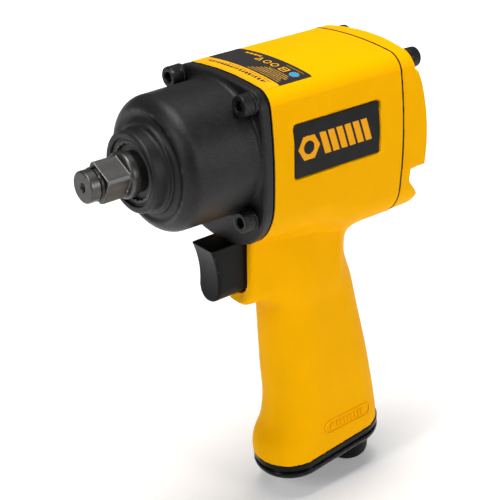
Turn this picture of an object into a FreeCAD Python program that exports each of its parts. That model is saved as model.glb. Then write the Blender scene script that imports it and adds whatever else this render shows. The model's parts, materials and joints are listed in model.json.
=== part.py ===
import FreeCAD, Part
import math
import os
import Sketcher

# Compact 1/2 inch air impact wrench, as a parametric assembly in millimetres.
# +X runs out of the nose along the anvil, +Y to the tool's left, +Z up.
# The origin is the middle of the square drive at its shoulder.

V = FreeCAD.Vector
X_AXIS, Y_AXIS, Z_AXIS = V(1, 0, 0), V(0, 1, 0), V(0, 0, 1)
document = FreeCAD.newDocument("impact_wrench")
sheet = document.addObject("Spreadsheet::Sheet", "dims")

DIMENSIONS = {
    # anvil, from the nose back
    "nose_tip": 16.4, "nose_radius": 6.3, "nose_bevel": 0.7, "centre_drill_radius": 1.9,
    "centre_drill_depth": 4.0, "ring_groove_front": 12.3, "ring_groove_rear": 10.3,
    "ring_groove_radius": 4.7, "square_size": 12.7, "square_turn": 27.8, "square_bevel": 1.3,
    "collar_radius": 9.2, "collar_rear": -4.4, "journal_radius": 8.0, "journal_rear": -22.8,
    "anvil_core_radius": 6.8, "anvil_jaw_radius": 9.5, "pilot_radius": 4.5, "pilot_rear": -52.5,
    "running_gap": 0.05,
    # hammer case
    "hub_front": -4.7, "hub_radius": 15.7, "hub_lip": 13.4, "hub_rear": -10.6, "step_radius": 18.2,
    "annulus_front": -12.4, "annulus_radius": 22.2, "shoulder_round": 6.4, "case_radius": 27.2,
    "case_front_radius": 26.8, "case_cavity_radius": 23.3, "case_cavity_front": -17.3,
    "bushing_radius": 10.5, "seal_front": -6.2, "seal_rear": -8.0,
    "flange_front": -46.3, "flange_rear": -51.0, "gasket_thickness": 0.5,
    "front_screw_y": 21.9, "front_screw_z": 23.8,
    # barrel outline: width and height at the flange (front) and at the seam (rear)
    "front_shoulder_y": 22.0, "front_shoulder_z": 27.7, "front_top_y": 26.7,
    "front_top_z": 22.6, "front_belly_y": 28.6, "front_belly_z": -27.0, "front_chin_y": 20.0,
    "front_chin_z": -36.2, "front_bottom_arc": 50.0,
    "rear_shoulder_y": 22.6, "rear_shoulder_z": 28.0, "rear_top_y": 28.0,
    "rear_top_z": 22.4, "rear_belly_y": 29.8, "rear_belly_z": -33.0, "rear_chin_y": 24.0,
    "rear_chin_z": -41.4, "rear_bottom_arc": 90.0,
    "crown_arc": 150.0, "shoulder_arc": 6.0, "side_arc": 190.0, "chin_arc": 10.0,
    "seam": -119.4, "cover_gasket": 0.6, "cover_back": -138.4, "cover_dome": 112.0, "cover_dome_z": -12.0,
    "cover_wall": 4.0, "rear_screw_y": 20.3, "rear_screw_z": 22.4, "screw_seat": -127.9,
    "screw_notch": 5.6,
    # M5 cap screws with spring washers
    "screw_radius": 2.5, "head_radius": 4.25, "head_height": 5.0, "hex_circumradius": 2.31,
    "hex_depth": 2.6, "washer_radius": 4.4, "washer_thickness": 1.6, "screw_length": 20.0,
    # twin hammer clutch
    "cage_front": -18.6, "cage_disc": 4.0, "cage_radius": 22.4, "cage_rear": -50.3,
    "bridge_inner": 19.8, "bridge_half_width": 10.0, "cage_hub_radius": 9.2, "cage_hub_rear": -57.6,
    "hammer_radius": 18.6, "hammer_bore": 10.9, "hammer_length": 11.2, "hammer_gap": 0.4,
    "pin_radius": 2.75, "pin_offset": 16.8, "pin_clearance": 0.08, "pin_notch": 5.4,
    "pin_notch_depth": 13.4, "lobe_radius": 8.2, "thrust_washer_radius": 14.0,
    # air motor
    "motor_radius": 23.5, "motor_bore": 23.55, "plate_rim_front": -51.0, "plate_front": -58.0,
    "plate_rear": -67.0, "cylinder_rear": -103.0, "end_plate_rear": -112.0, "plate_rim_inner": 20.0,
    "chamber_radius": 19.3, "chamber_offset": 2.0, "rotor_radius": 17.1, "rotor_gap": 0.15,
    "vane_thickness": 2.0, "vane_root": 10.5, "shaft_radius": 6.0, "shaft_hole": 7.0,
    "spline_circumradius": 5.2, "spline_front": -53.2, "dowel_radius": 1.25, "dowel_z": -20.4,
    "bearing_radius": 12.0, "bearing_width": 6.0, "outer_race_inner": 10.4, "inner_race_outer": 7.6,
    "ball_radius": 1.75, "ball_pitch": 9.0, "race_groove": 1.82,
    # name plates
    "plate_x_front": -62.4, "plate_x_rear": -108.0, "plate_bottom": -10.6, "plate_top": 11.9,
    "plate_face": 29.2, "plate_thickness": 0.8, "plate_splay": 1.4, "plate_lean": 2.6,
    # trigger and its boss
    "trigger_front": -38.0, "trigger_rear": -61.0, "trigger_half_width": 6.8, "trigger_top": -41.8,
    "trigger_bottom": -67.0, "trigger_travel": 5.0, "finger_hollow": 34.0,
    "slot_gap": 0.3, "boss_front": -55.0, "boss_half_width": 10.3, "boss_rear_half_width": 15.6,
    "boss_flare": -82.0, "boss_rear": -96.0, "boss_bottom": -72.0, "boss_top": -37.0,
    "boss_round": 8.6, "rod_radius": 2.5, "rod_z": -51.5, "rod_tip": -98.5, "rod_clearance": 0.1,
    # throttle valve
    "throttle_x": -96.0, "stem_radius": 1.6, "stem_contact": -50.5, "chamber_top": -55.0,
    "seat_top": -60.0, "seat_bottom": -63.5, "seat_hole": 3.4, "throttle_chamber_radius": 6.5,
    "throttle_chamber_bottom": -91.0, "valve_radius": 5.2, "valve_top": -63.6, "valve_bottom": -66.4,
    "spring_outer": 4.4, "spring_inner": 3.2, "spring_bottom": -82.0, "retainer_bottom": -84.0,
    "rod_slope": 0.5,
    # reverse valve
    "reverse_z": -31.8, "reverse_bushing_radius": 7.0, "reverse_valve_radius": 5.0,
    "reverse_front": -90.0, "reverse_stem_radius": 3.2, "knob_front": -128.0, "knob_rear": -138.2,
    "knob_radius": 8.0, "knob_recess": 8.6, "knob_bar_width": 4.4, "knob_disc_rear": -132.0,
    "detent_radius": 1.5, "detent_reach": 5.4,
    # grip, exhaust deflector and inlet
    "foot_tilt": 4.8, "grip_seam": -157.0, "deflector_bottom": -176.2, "inlet_tilt": 12.0,
    "inlet_x": -119.6,
    "passage_radius": 5.8, "passage_length": 78.0, "bush_radius": 9.6, "bush_end": 22.0,
    "bush_neck_radius": 6.9, "bush_inner_end": -14.0, "thread_radius": 5.55, "thread_length": 13.0,
    "bush_bore": 5.3, "exhaust_radius": 7.0, "exhaust_x": -86.0, "exhaust_top": -78.0,
    "exhaust_duct_radius": 3.2, "exhaust_duct_x": -78.0, "exhaust_duct_y": 9.0,
    "muffler_top": -136.0, "muffler_bottom": -157.0,
}

# Grip sections from the barrel down: height, front end, rear end, half width.
GRIP_SECTIONS = [
    ("root", -36.0, -62.0, -118.6, 15.5), ("neck", -47.0, -65.0, -113.0, 16.0),
    ("web", -60.0, -68.6, -110.8, 16.4), ("palm", -76.0, -70.2, -115.7, 16.6),
    ("waist", -92.0, -71.2, -120.0, 16.6), ("fingers", -115.0, -72.8, -126.3, 16.8),
    ("heel", -140.0, -74.3, -131.9, 17.0), ("toe", -151.5, -69.4, -134.2, 17.2),
    ("foot", -166.9, -69.0, -136.0, 17.2),
]
for section, height, front, rear, half_width in GRIP_SECTIONS:
    DIMENSIONS[section + "_height"] = height
    DIMENSIONS[section + "_front"] = front
    DIMENSIONS[section + "_rear"] = rear
    DIMENSIONS[section + "_half_width"] = half_width

for row, (alias, size) in enumerate(DIMENSIONS.items(), start=1):
    sheet.set(f"A{row}", alias)
    sheet.set(f"B{row}", str(size))
    sheet.setAlias(f"B{row}", alias)
document.recompute()

nodes = []


def sheet_names(text):
    """Write sheet aliases in an expression with the sheet's own name before them."""
    words = []
    for word in text.replace("(", "( ").replace(")", " )").split():
        words.append("dims." + word if word in DIMENSIONS else word)
    return " ".join(words)


def size_of(text):
    return float(sheet.evalExpression(sheet_names(text)))


def bind(thing, **sizes):
    for name, text in sizes.items():
        thing.setExpression(name.replace("__", "."), sheet_names(text))


def node(thing, label):
    """A finished sub-part: its label names its file."""
    thing.Label = label
    nodes.append(thing)
    return thing


def named(kind, label):
    return document.addObject(kind, label)


# ---------------------------------------------------------------- primitives and booleans
TURNS = {"x": FreeCAD.Rotation(Y_AXIS, 90), "y": FreeCAD.Rotation(X_AXIS, -90), "z": FreeCAD.Rotation()}


def rod(label, radius, start, end, across=("0", "0"), axis="x"):
    """A cylinder from the plane start up to the plane end of one axis."""
    shape = named("Part::Cylinder", label)
    shape.Placement = FreeCAD.Placement(V(0, 0, 0), TURNS[axis])
    base = {"x": (start, *across), "y": (across[0], start, across[1]), "z": (*across, start)}[axis]
    bind(shape, Radius=radius, Height=f"{end} - ( {start} )")
    bind(shape, Placement__Base__x=base[0], Placement__Base__y=base[1], Placement__Base__z=base[2])
    return shape


def hexagon(label, circumradius, start, end, across=("0", "0")):
    """A six sided prism along X."""
    shape = named("Part::Prism", label)
    shape.Polygon = 6
    shape.Placement = FreeCAD.Placement(V(0, 0, 0), TURNS["x"])
    bind(shape, Circumradius=circumradius, Height=f"{end} - ( {start} )")
    bind(shape, Placement__Base__x=start, Placement__Base__y=across[0], Placement__Base__z=across[1])
    return shape


def block(label, low, high):
    """A box between two corners given as expressions."""
    shape = named("Part::Box", label)
    bind(shape, Placement__Base__x=low[0], Placement__Base__y=low[1], Placement__Base__z=low[2])
    bind(shape, Length=f"{high[0]} - ( {low[0]} )", Width=f"{high[1]} - ( {low[1]} )")
    bind(shape, Height=f"{high[2]} - ( {low[2]} )")
    return shape


def fuse(label, *shapes):
    joined = named("Part::MultiFuse", label)
    joined.Shapes = list(shapes)
    return joined


def group(label, *shapes):
    """Separate solids that share one node."""
    together = named("Part::Compound", label)
    together.Links = list(shapes)
    return together


def cut(label, base, *tools):
    result = named("Part::Cut", label)
    result.Base = base
    result.Tool = tools[0] if len(tools) == 1 else fuse(label + "_cutters", *tools)
    return result


def common(label, *shapes):
    result = named("Part::MultiCommon", label)
    result.Shapes = list(shapes)
    return result


def ring(label, outer, inner, start, end, across=("0", "0"), axis="x"):
    outside = rod(label + "_outside", outer, start, end, across, axis)
    inside = rod(label + "_inside", inner, start, end, across, axis)
    return cut(label, outside, inside)


# ---------------------------------------------------------------- sketches and bodies
def sketch_on(body, name, role, offset="0", tilt="0"):
    """A sketch on a plane of its own body, moved along the normal and tilted about Y."""
    sketch = body.newObject("Sketcher::SketchObject", name)
    plane = next(item for item in body.Origin.OriginFeatures if item.Role == role)
    sketch.AttachmentSupport = [(plane, "")]
    sketch.MapMode = "FlatFace"
    sketch.AttachmentOffset = FreeCAD.Placement(V(0, 0, 0), FreeCAD.Rotation(Y_AXIS, size_of(tilt)))
    bind(sketch, AttachmentOffset__Base__z=offset)
    return sketch


def draw(sketch, corners, arcs=()):
    """A closed outline through corners given as expression pairs. arcs maps the number of an
    edge to (radius, bulge side): a bulge side of 1 swells outwards on an anticlockwise outline."""
    points = [V(size_of(first), size_of(second), 0) for first, second in corners]
    arcs = dict(arcs)
    count = len(points)
    for index, start in enumerate(points):
        end = points[(index + 1) % count]
        if index in arcs:
            radius = size_of(arcs[index][0])
            middle = (start + end) * 0.5
            chord = end - start
            rise = radius - math.sqrt(radius ** 2 - (chord.Length / 2) ** 2)
            outwards = V(chord.y, -chord.x, 0).normalize() * arcs[index][1]
            sketch.addGeometry(Part.Arc(start, middle + outwards * rise, end))
        else:
            sketch.addGeometry(Part.LineSegment(start, end))
    first_ends = [end_number(sketch, index, point) for index, point in enumerate(points)]
    for index, first_end in enumerate(first_ends):
        following = (index + 1) % count
        rule = Sketcher.Constraint("Coincident", index, 3 - first_end, following, first_ends[following])
        sketch.addConstraint(rule)
    for index, corner in enumerate(corners):
        for kind, text in zip(("DistanceX", "DistanceY"), corner):
            rule = Sketcher.Constraint(kind, -1, 1, index, first_ends[index], size_of(text))
            place = sketch.addConstraint(rule)
            bind(sketch, **{f"Constraints[{place}]": text})
    for index, (radius, side) in arcs.items():
        place = sketch.addConstraint(Sketcher.Constraint("Radius", index, size_of(radius)))
        bind(sketch, **{f"Constraints[{place}]": radius})
    return sketch


def end_number(sketch, edge, point):
    """Sketch point number of the end of an edge that lies nearer to a point: 1 or 2."""
    to_first, to_second = (sketch.getPoint(edge, end).distanceToPoint(point) for end in (1, 2))
    return 1 if to_first < to_second else 2


def turned_body(name, corners, arcs=()):
    """A body revolved about its X axis from (x, radius) corners."""
    body = named("PartDesign::Body", name)
    sketch = draw(sketch_on(body, name + "_section", "XZ_Plane"), corners, arcs)
    turn = body.newObject("PartDesign::Revolution", name + "_turn")
    turn.Profile = sketch
    turn.ReferenceAxis = (sketch, ["H_Axis"])
    turn.Angle = 360
    return body


def padded_body(name, role, start, length, corners, arcs=()):
    body = named("PartDesign::Body", name)
    sketch = draw(sketch_on(body, name + "_outline", role, start), corners, arcs)
    pad = body.newObject("PartDesign::Pad", name + "_pad")
    pad.Profile = sketch
    bind(pad, Length=length)
    return body


def lofted_body(name, role, sections, ruled=False):
    """A body lofted through (offset, tilt, corners, arcs) sections, straight between them if ruled."""
    body = named("PartDesign::Body", name)
    sketches = []
    for number, (offset, tilt, corners, arcs) in enumerate(sections):
        sketch = sketch_on(body, f"{name}_section_{number}", role, offset, tilt)
        sketches.append(draw(sketch, corners, arcs))
    loft = body.newObject("PartDesign::AdditiveLoft", name + "_loft")
    loft.Profile = sketches[0]
    loft.Sections = sketches[1:]
    loft.Ruled = ruled
    return body


def barrel_outline(end):
    """Barrel section at the flange or at the seam, anticlockwise seen from the nose."""
    half = [(f"{end}_belly_y", f"{end}_belly_z"), (f"{end}_top_y", f"{end}_top_z"),
            (f"{end}_shoulder_y", f"{end}_shoulder_z")]
    left = [(f"0 - {y}", z) for y, z in reversed(half)]
    chin = [(f"0 - {end}_chin_y", f"{end}_chin_z"), (f"{end}_chin_y", f"{end}_chin_z")]
    arcs = {0: ("side_arc", 1), 1: ("shoulder_arc", 1), 2: ("crown_arc", 1), 3: ("shoulder_arc", 1),
            4: ("side_arc", 1), 5: ("chin_arc", 1), 6: (f"{end}_bottom_arc", 1), 7: ("chin_arc", 1)}
    return half + left + chin, arcs


def slot_outline(front, rear, half_width, inset="0"):
    """A grip section: two straight sides and two round ends, seen from above."""
    wide = f"{half_width} - {inset}"
    centre_front = f"{front} - {half_width}"
    centre_rear = f"{rear} + {half_width}"
    corners = [(centre_rear, f"0 - ( {wide} )"), (centre_front, f"0 - ( {wide} )"),
               (centre_front, wide), (centre_rear, wide)]
    return corners, {1: (f"( {wide} ) * 1.0005", 1), 3: (f"( {wide} ) * 1.0005", 1)}


# ---------------------------------------------------------------- anvil and its nose parts
def make_anvil():
    profile = [("pilot_rear", "0"), ("pilot_rear", "pilot_radius"),
               ("cage_rear + cage_disc + 0.15", "pilot_radius"),
               ("cage_rear + cage_disc + 0.15", "anvil_core_radius"),
               ("journal_rear", "anvil_core_radius"), ("journal_rear", "journal_radius"),
               ("collar_rear", "journal_radius"), ("collar_rear", "collar_radius"),
               ("0 - 1.4", "collar_radius"), ("0", "collar_radius - 1.4"), ("0", "ring_groove_radius"),
               ("ring_groove_front", "ring_groove_radius"), ("ring_groove_front", "nose_radius"),
               ("nose_tip - nose_bevel", "nose_radius"), ("nose_tip", "nose_radius - nose_bevel"),
               ("nose_tip", "centre_drill_radius"), ("nose_tip - centre_drill_depth", "0")]
    shaft = turned_body("anvil_shaft", profile)
    half = "square_size / 2"
    inner = f"{half} - square_bevel"
    square = padded_body("square_drive", "YZ_Plane", "0", "ring_groove_rear", [
        (inner, f"0 - {half}"), (half, f"0 - ( {inner} )"), (half, inner), (inner, half),
        (f"0 - ( {inner} )", half), (f"0 - {half}", inner), (f"0 - {half}", f"0 - ( {inner} )"),
        (f"0 - ( {inner} )", f"0 - {half}")])
    square.Placement = FreeCAD.Placement(V(0, 0, 0), FreeCAD.Rotation(X_AXIS, -size_of("square_turn")))
    front_jaw = jaw("front_anvil_jaw", "front_hammer", 1)
    rear_jaw = jaw("rear_anvil_jaw", "rear_hammer", -1)
    node(fuse("anvil_joined", shaft, square, front_jaw, rear_jaw), "anvil")
    groove = ("ring_groove_rear + 0.25", "ring_groove_front - 0.25")
    node(ring("oring_ring", "ring_groove_radius + 0.9", "ring_groove_radius", *groove),
         "retaining_ring_oring")
    circlip = ring("circlip_ring", "nose_radius + 0.25", "ring_groove_radius + 0.9", *groove)
    gap = block("circlip_gap", ("ring_groove_rear", "0 - 0.9", "0"),
                ("ring_groove_front", "0.9", "nose_radius + 2"))
    node(cut("circlip", circlip, gap), "socket_retaining_ring")


HAMMER_FRONTS = {"front_hammer": "cage_front - cage_disc - hammer_gap",
                 "rear_hammer": "cage_front - cage_disc - 2 * hammer_gap - hammer_length"}


def jaw(name, hammer, side):
    """An anvil jaw: the part of a larger disc that stands out on one side of the core."""
    front = HAMMER_FRONTS[hammer]
    disc = rod(name + "_disc", "anvil_jaw_radius", f"{front} - hammer_length + 0.3", f"{front} - 0.3")
    low, high = ("0", "anvil_jaw_radius") if side > 0 else ("0 - anvil_jaw_radius", "0")
    slab = block(name + "_slab", (f"{front} - hammer_length", low, "0 - 4.4"),
                 (front, high, "4.4"))
    return common(name, disc, slab)


# ---------------------------------------------------------------- hammer case
def screw_places(prefix):
    return [(f"{ys} * {prefix}_screw_y", f"{zs} * {prefix}_screw_z") for ys in (1, -1) for zs in (1, -1)]


def make_hammer_case():
    outside = [("flange_rear", "0"), ("flange_rear", "case_radius"), ("flange_front", "case_radius"),
               ("annulus_front - shoulder_round - 1.0", "case_front_radius"),
               ("annulus_front", "annulus_radius - 1.2"), ("annulus_front", "step_radius"),
               ("hub_rear", "hub_radius"), ("hub_front - 1", "hub_radius"),
               ("hub_front", "hub_radius - 1"), ("hub_front", "0")]
    shell = turned_body("case_outside", outside, {3: ("shoulder_round + 0.6", -1)})
    corners, arcs = barrel_outline("front")
    flange = padded_body("case_flange", "YZ_Plane", "flange_rear", "flange_front - flange_rear",
                         corners, arcs)
    cavity = turned_body("case_cavity", [
        ("flange_rear - 1", "0"), ("flange_rear - 1", "case_cavity_radius"),
        ("case_cavity_front - 1.6", "case_cavity_radius"),
        ("case_cavity_front + 1.6", "case_cavity_radius - 5"),
        ("case_cavity_front + 1.6", "thrust_washer_radius + 1"),
        ("case_cavity_front", "thrust_washer_radius + 1"), ("case_cavity_front", "bushing_radius"),
        ("seal_rear", "bushing_radius"), ("seal_rear", "hub_lip"), ("hub_front + 1", "hub_lip"),
        ("hub_front + 1", "0")])
    holes = [rod(f"case_hole_{index}", "screw_radius + 0.25", "flange_rear - 1", "flange_front + 1", place)
             for index, place in enumerate(screw_places("front"))]
    solid = fuse("case_solid", shell, flange)
    node(cut("case_bored", solid, cavity, *holes), "hammer_case")
    node(ring("bushing_ring", "bushing_radius", "journal_radius + running_gap",
              "case_cavity_front", "seal_rear"), "anvil_bushing")
    node(ring("seal_ring", "hub_lip", "journal_radius + running_gap", "seal_rear", "seal_front"),
         "anvil_seal")
    node(ring("thrust_ring", "thrust_washer_radius", "journal_radius + 0.2", "cage_front + 0.2",
              "case_cavity_front"), "cage_thrust_washer")
    gasket = padded_body("case_gasket_sheet", "YZ_Plane", "flange_rear - gasket_thickness",
                         "gasket_thickness", corners, arcs)
    opening = rod("case_gasket_bore", "motor_bore", "flange_rear - 2", "flange_rear + 2")
    holes = [rod(f"case_gasket_hole_{index}", "screw_radius", "flange_rear - 2", "flange_rear + 2", place)
             for index, place in enumerate(screw_places("front"))]
    node(cut("case_gasket_cut", gasket, opening, *holes), "case_gasket")


def make_screws(prefix, seat, direction):
    """Four cap screws and their spring washers, seated on a plane, heads in one direction."""
    screws = []
    washers = []
    washer_top = f"{seat} + {direction} * washer_thickness"
    head_top = f"{seat} + {direction} * ( washer_thickness + head_height )"
    tip = f"{washer_top} - {direction} * screw_length"
    socket = f"{head_top} - {direction} * hex_depth"
    for index, place in enumerate(screw_places(prefix)):
        name = f"{prefix}_screw_{index}"
        ends = [washer_top, head_top, tip, washer_top, socket, head_top]
        if direction < 0:
            ends = [head_top, washer_top, washer_top, tip, head_top, socket]
        head = rod(name + "_head", "head_radius", ends[0], ends[1], place)
        shank = rod(name + "_shank", "screw_radius", ends[2], ends[3], place)
        key = hexagon(name + "_key", "hex_circumradius", ends[4], ends[5], place)
        screws.append(cut(name, fuse(name + "_solid", head, shank), key))
        washer_ends = (seat, washer_top) if direction > 0 else (washer_top, seat)
        washers.append(ring(f"{prefix}_washer_{index}", "washer_radius", "screw_radius",
                            *washer_ends, place))
    return screws, washers


# ---------------------------------------------------------------- twin hammer clutch
def make_hammer(hammer, pin_side, lobe_side):
    """A rocking hammer: it hangs on one pin and its notch clears the other."""
    front = HAMMER_FRONTS[hammer]
    rear = f"{front} - hammer_length"
    disc = rod(hammer + "_disc", "hammer_radius", rear, front)
    bore = rod(hammer + "_bore", "hammer_bore", rear, front)
    hinge = rod(hammer + "_hinge", "pin_radius + pin_clearance", rear, front,
                ("0", f"{pin_side} * pin_offset"))
    deep, far = ("0 - hammer_radius - 1", "0 - pin_notch_depth")
    if pin_side < 0:
        deep, far = ("pin_notch_depth", "hammer_radius + 1")
    notch = block(hammer + "_notch", (rear, "0 - pin_notch", deep), (front, "pin_notch", far))
    low, high = ("lobe_radius", "hammer_radius - 4")
    if lobe_side < 0:
        low, high = ("0 - ( hammer_radius - 4 )", "0 - lobe_radius")
    lobe = block(hammer + "_lobe", (rear, low, "0 - 3"), (front, high, "3"))
    eye = cut(hammer + "_eye", disc, bore)
    node(cut(hammer + "_cut", fuse(hammer + "_joined", eye, lobe), hinge, notch), hammer)


def make_clutch():
    front_disc = rod("cage_front_disc", "cage_radius", "cage_front - cage_disc", "cage_front")
    rear_disc = rod("cage_rear_disc", "cage_radius", "cage_rear", "cage_rear + cage_disc")
    hub = rod("cage_hub", "cage_hub_radius", "cage_hub_rear", "cage_rear")
    rim = ring("cage_rim", "cage_radius", "bridge_inner", "cage_rear", "cage_front")
    band = block("cage_band", ("cage_rear", "0 - bridge_half_width", "0 - cage_radius - 1"),
                 ("cage_front", "bridge_half_width", "cage_radius + 1"))
    bridges = common("cage_bridges", rim, band)
    journal = rod("cage_journal", "journal_radius + running_gap", "journal_rear - 0.3", "cage_front + 1")
    pilot = rod("cage_pilot", "pilot_radius + running_gap", "pilot_rear - 0.2", "cage_rear + cage_disc + 1")
    spline = hexagon("cage_spline", "spline_circumradius", "cage_hub_rear - 1", "spline_front + 0.1")
    pin_ends = ("cage_rear + 1", "cage_front - 1")
    places = [("0", "pin_offset"), ("0", "0 - pin_offset")]
    holes = [rod(f"cage_pin_hole_{index}", "pin_radius", *pin_ends, place)
             for index, place in enumerate(places)]
    pins = [rod(f"hammer_pin_{index}", "pin_radius", *pin_ends, place)
            for index, place in enumerate(places)]
    solid = fuse("cage_solid", front_disc, rear_disc, hub, bridges)
    node(cut("cage_cut", solid, journal, pilot, spline, *holes), "hammer_cage")
    node(group("pins", *pins), "hammer_pins")
    make_hammer("front_hammer", 1, -1)
    make_hammer("rear_hammer", -1, 1)


# ---------------------------------------------------------------- air motor
def make_bearing(name, start):
    """A deep groove ball bearing: outer race, inner race and eight balls."""
    end = f"{start} + bearing_width"
    middle = f"{start} + bearing_width / 2"
    outer = ring(name + "_outer_ring", "bearing_radius", "outer_race_inner", start, end)
    inner = ring(name + "_inner_ring", "inner_race_outer", "shaft_radius", start, end)
    for part, label in ((outer, "outer_race"), (inner, "inner_race")):
        groove = named("Part::Torus", f"{name}_{label}_groove")
        groove.Placement = FreeCAD.Placement(V(0, 0, 0), TURNS["x"])
        bind(groove, Radius1="ball_pitch", Radius2="race_groove", Placement__Base__x=middle)
        node(cut(f"{name}_{label}_cut", part, groove), f"{name}_{label}")
    balls = []
    for index in range(8):
        ball = named("Part::Sphere", f"{name}_ball_{index}")
        angle = f"{index * 45} * 1 deg"
        bind(ball, Radius="ball_radius", Placement__Base__x=middle)
        bind(ball, Placement__Base__y=f"ball_pitch * cos( {angle} )")
        bind(ball, Placement__Base__z=f"ball_pitch * sin( {angle} )")
        balls.append(ball)
    node(group(name + "_balls_group", *balls), name + "_balls")


def make_motor():
    rim = ring("front_plate_rim", "motor_radius", "plate_rim_inner", "plate_front", "plate_rim_front")
    plate = rod("front_plate_disc", "motor_radius", "plate_rear", "plate_front")
    seat = rod("front_plate_seat", "bearing_radius", "plate_front - bearing_width", "plate_front + 1")
    hole = rod("front_plate_hole", "shaft_hole", "plate_rear - 1", "plate_front")
    dowel_place = ("0", "dowel_z")
    dowel_ends = ("end_plate_rear + 3", "plate_front - 3")
    pin_holes = [rod(f"dowel_hole_{index}", "dowel_radius", *dowel_ends, dowel_place) for index in range(3)]
    solid = fuse("front_plate_solid", rim, plate)
    node(cut("front_plate_cut", solid, seat, hole, pin_holes[0]), "front_end_plate")

    barrel = rod("cylinder_outside", "motor_radius", "cylinder_rear", "plate_rear")
    chamber = rod("cylinder_chamber", "chamber_radius", "cylinder_rear", "plate_rear",
                  ("0", "chamber_offset"))
    ports = [rod(f"cylinder_port_{index}", "2", "0 - motor_radius - 1", "0",
                 (f"plate_rear - {7 + 7 * index}", "8"), axis="z") for index in range(4)]
    inlets = [rod(f"cylinder_inlet_{index}", "1.6", "0 - motor_radius - 1", "0",
                  (f"plate_rear - {10 + 8 * index}", "0 - 8"), axis="z") for index in range(3)]
    node(cut("cylinder_cut", barrel, chamber, pin_holes[1], *ports, *inlets), "cylinder")

    plate = rod("rear_plate_disc", "motor_radius", "end_plate_rear", "cylinder_rear")
    seat = rod("rear_plate_seat", "bearing_radius", "end_plate_rear - 1", "end_plate_rear + bearing_width")
    hole = rod("rear_plate_hole", "shaft_hole", "end_plate_rear", "cylinder_rear + 1")
    node(cut("rear_plate_cut", plate, seat, hole, pin_holes[2]), "rear_end_plate")
    node(rod("dowel", "dowel_radius", *dowel_ends, dowel_place), "cylinder_dowel")

    drum = rod("rotor_drum", "rotor_radius", "cylinder_rear + rotor_gap", "plate_rear - rotor_gap")
    shaft = rod("rotor_shaft", "shaft_radius", "end_plate_rear - 0.5", "plate_front")
    spline = hexagon("rotor_spline", "spline_circumradius", "plate_front - 1", "spline_front")
    slots = []
    vanes = []
    for index in range(6):
        for kind, thickness, found in (("slot", "vane_thickness", slots),
                                       ("vane", "vane_thickness - 0.1", vanes)):
            slab = block(f"{kind}_{index}_slab",
                         ("cylinder_rear + rotor_gap", f"0 - ( {thickness} ) / 2", "vane_root"),
                         ("plate_rear - rotor_gap", f"( {thickness} ) / 2", "rotor_radius - 0.05"))
            if kind == "slot":
                bind(slab, Height="rotor_radius + 1 - vane_root")
            turned = named("Part::Compound", f"{kind}_{index}")
            turned.Links = [slab]
            turned.Placement = FreeCAD.Placement(V(0, 0, 0), FreeCAD.Rotation(X_AXIS, 30 + 60 * index))
            found.append(turned)
    solid = fuse("rotor_solid", drum, shaft, spline)
    node(cut("rotor_cut", solid, *slots), "rotor")
    node(group("vanes", *vanes), "rotor_vanes")
    make_bearing("front_bearing", "plate_front - bearing_width")
    make_bearing("rear_bearing", "end_plate_rear")


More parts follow.
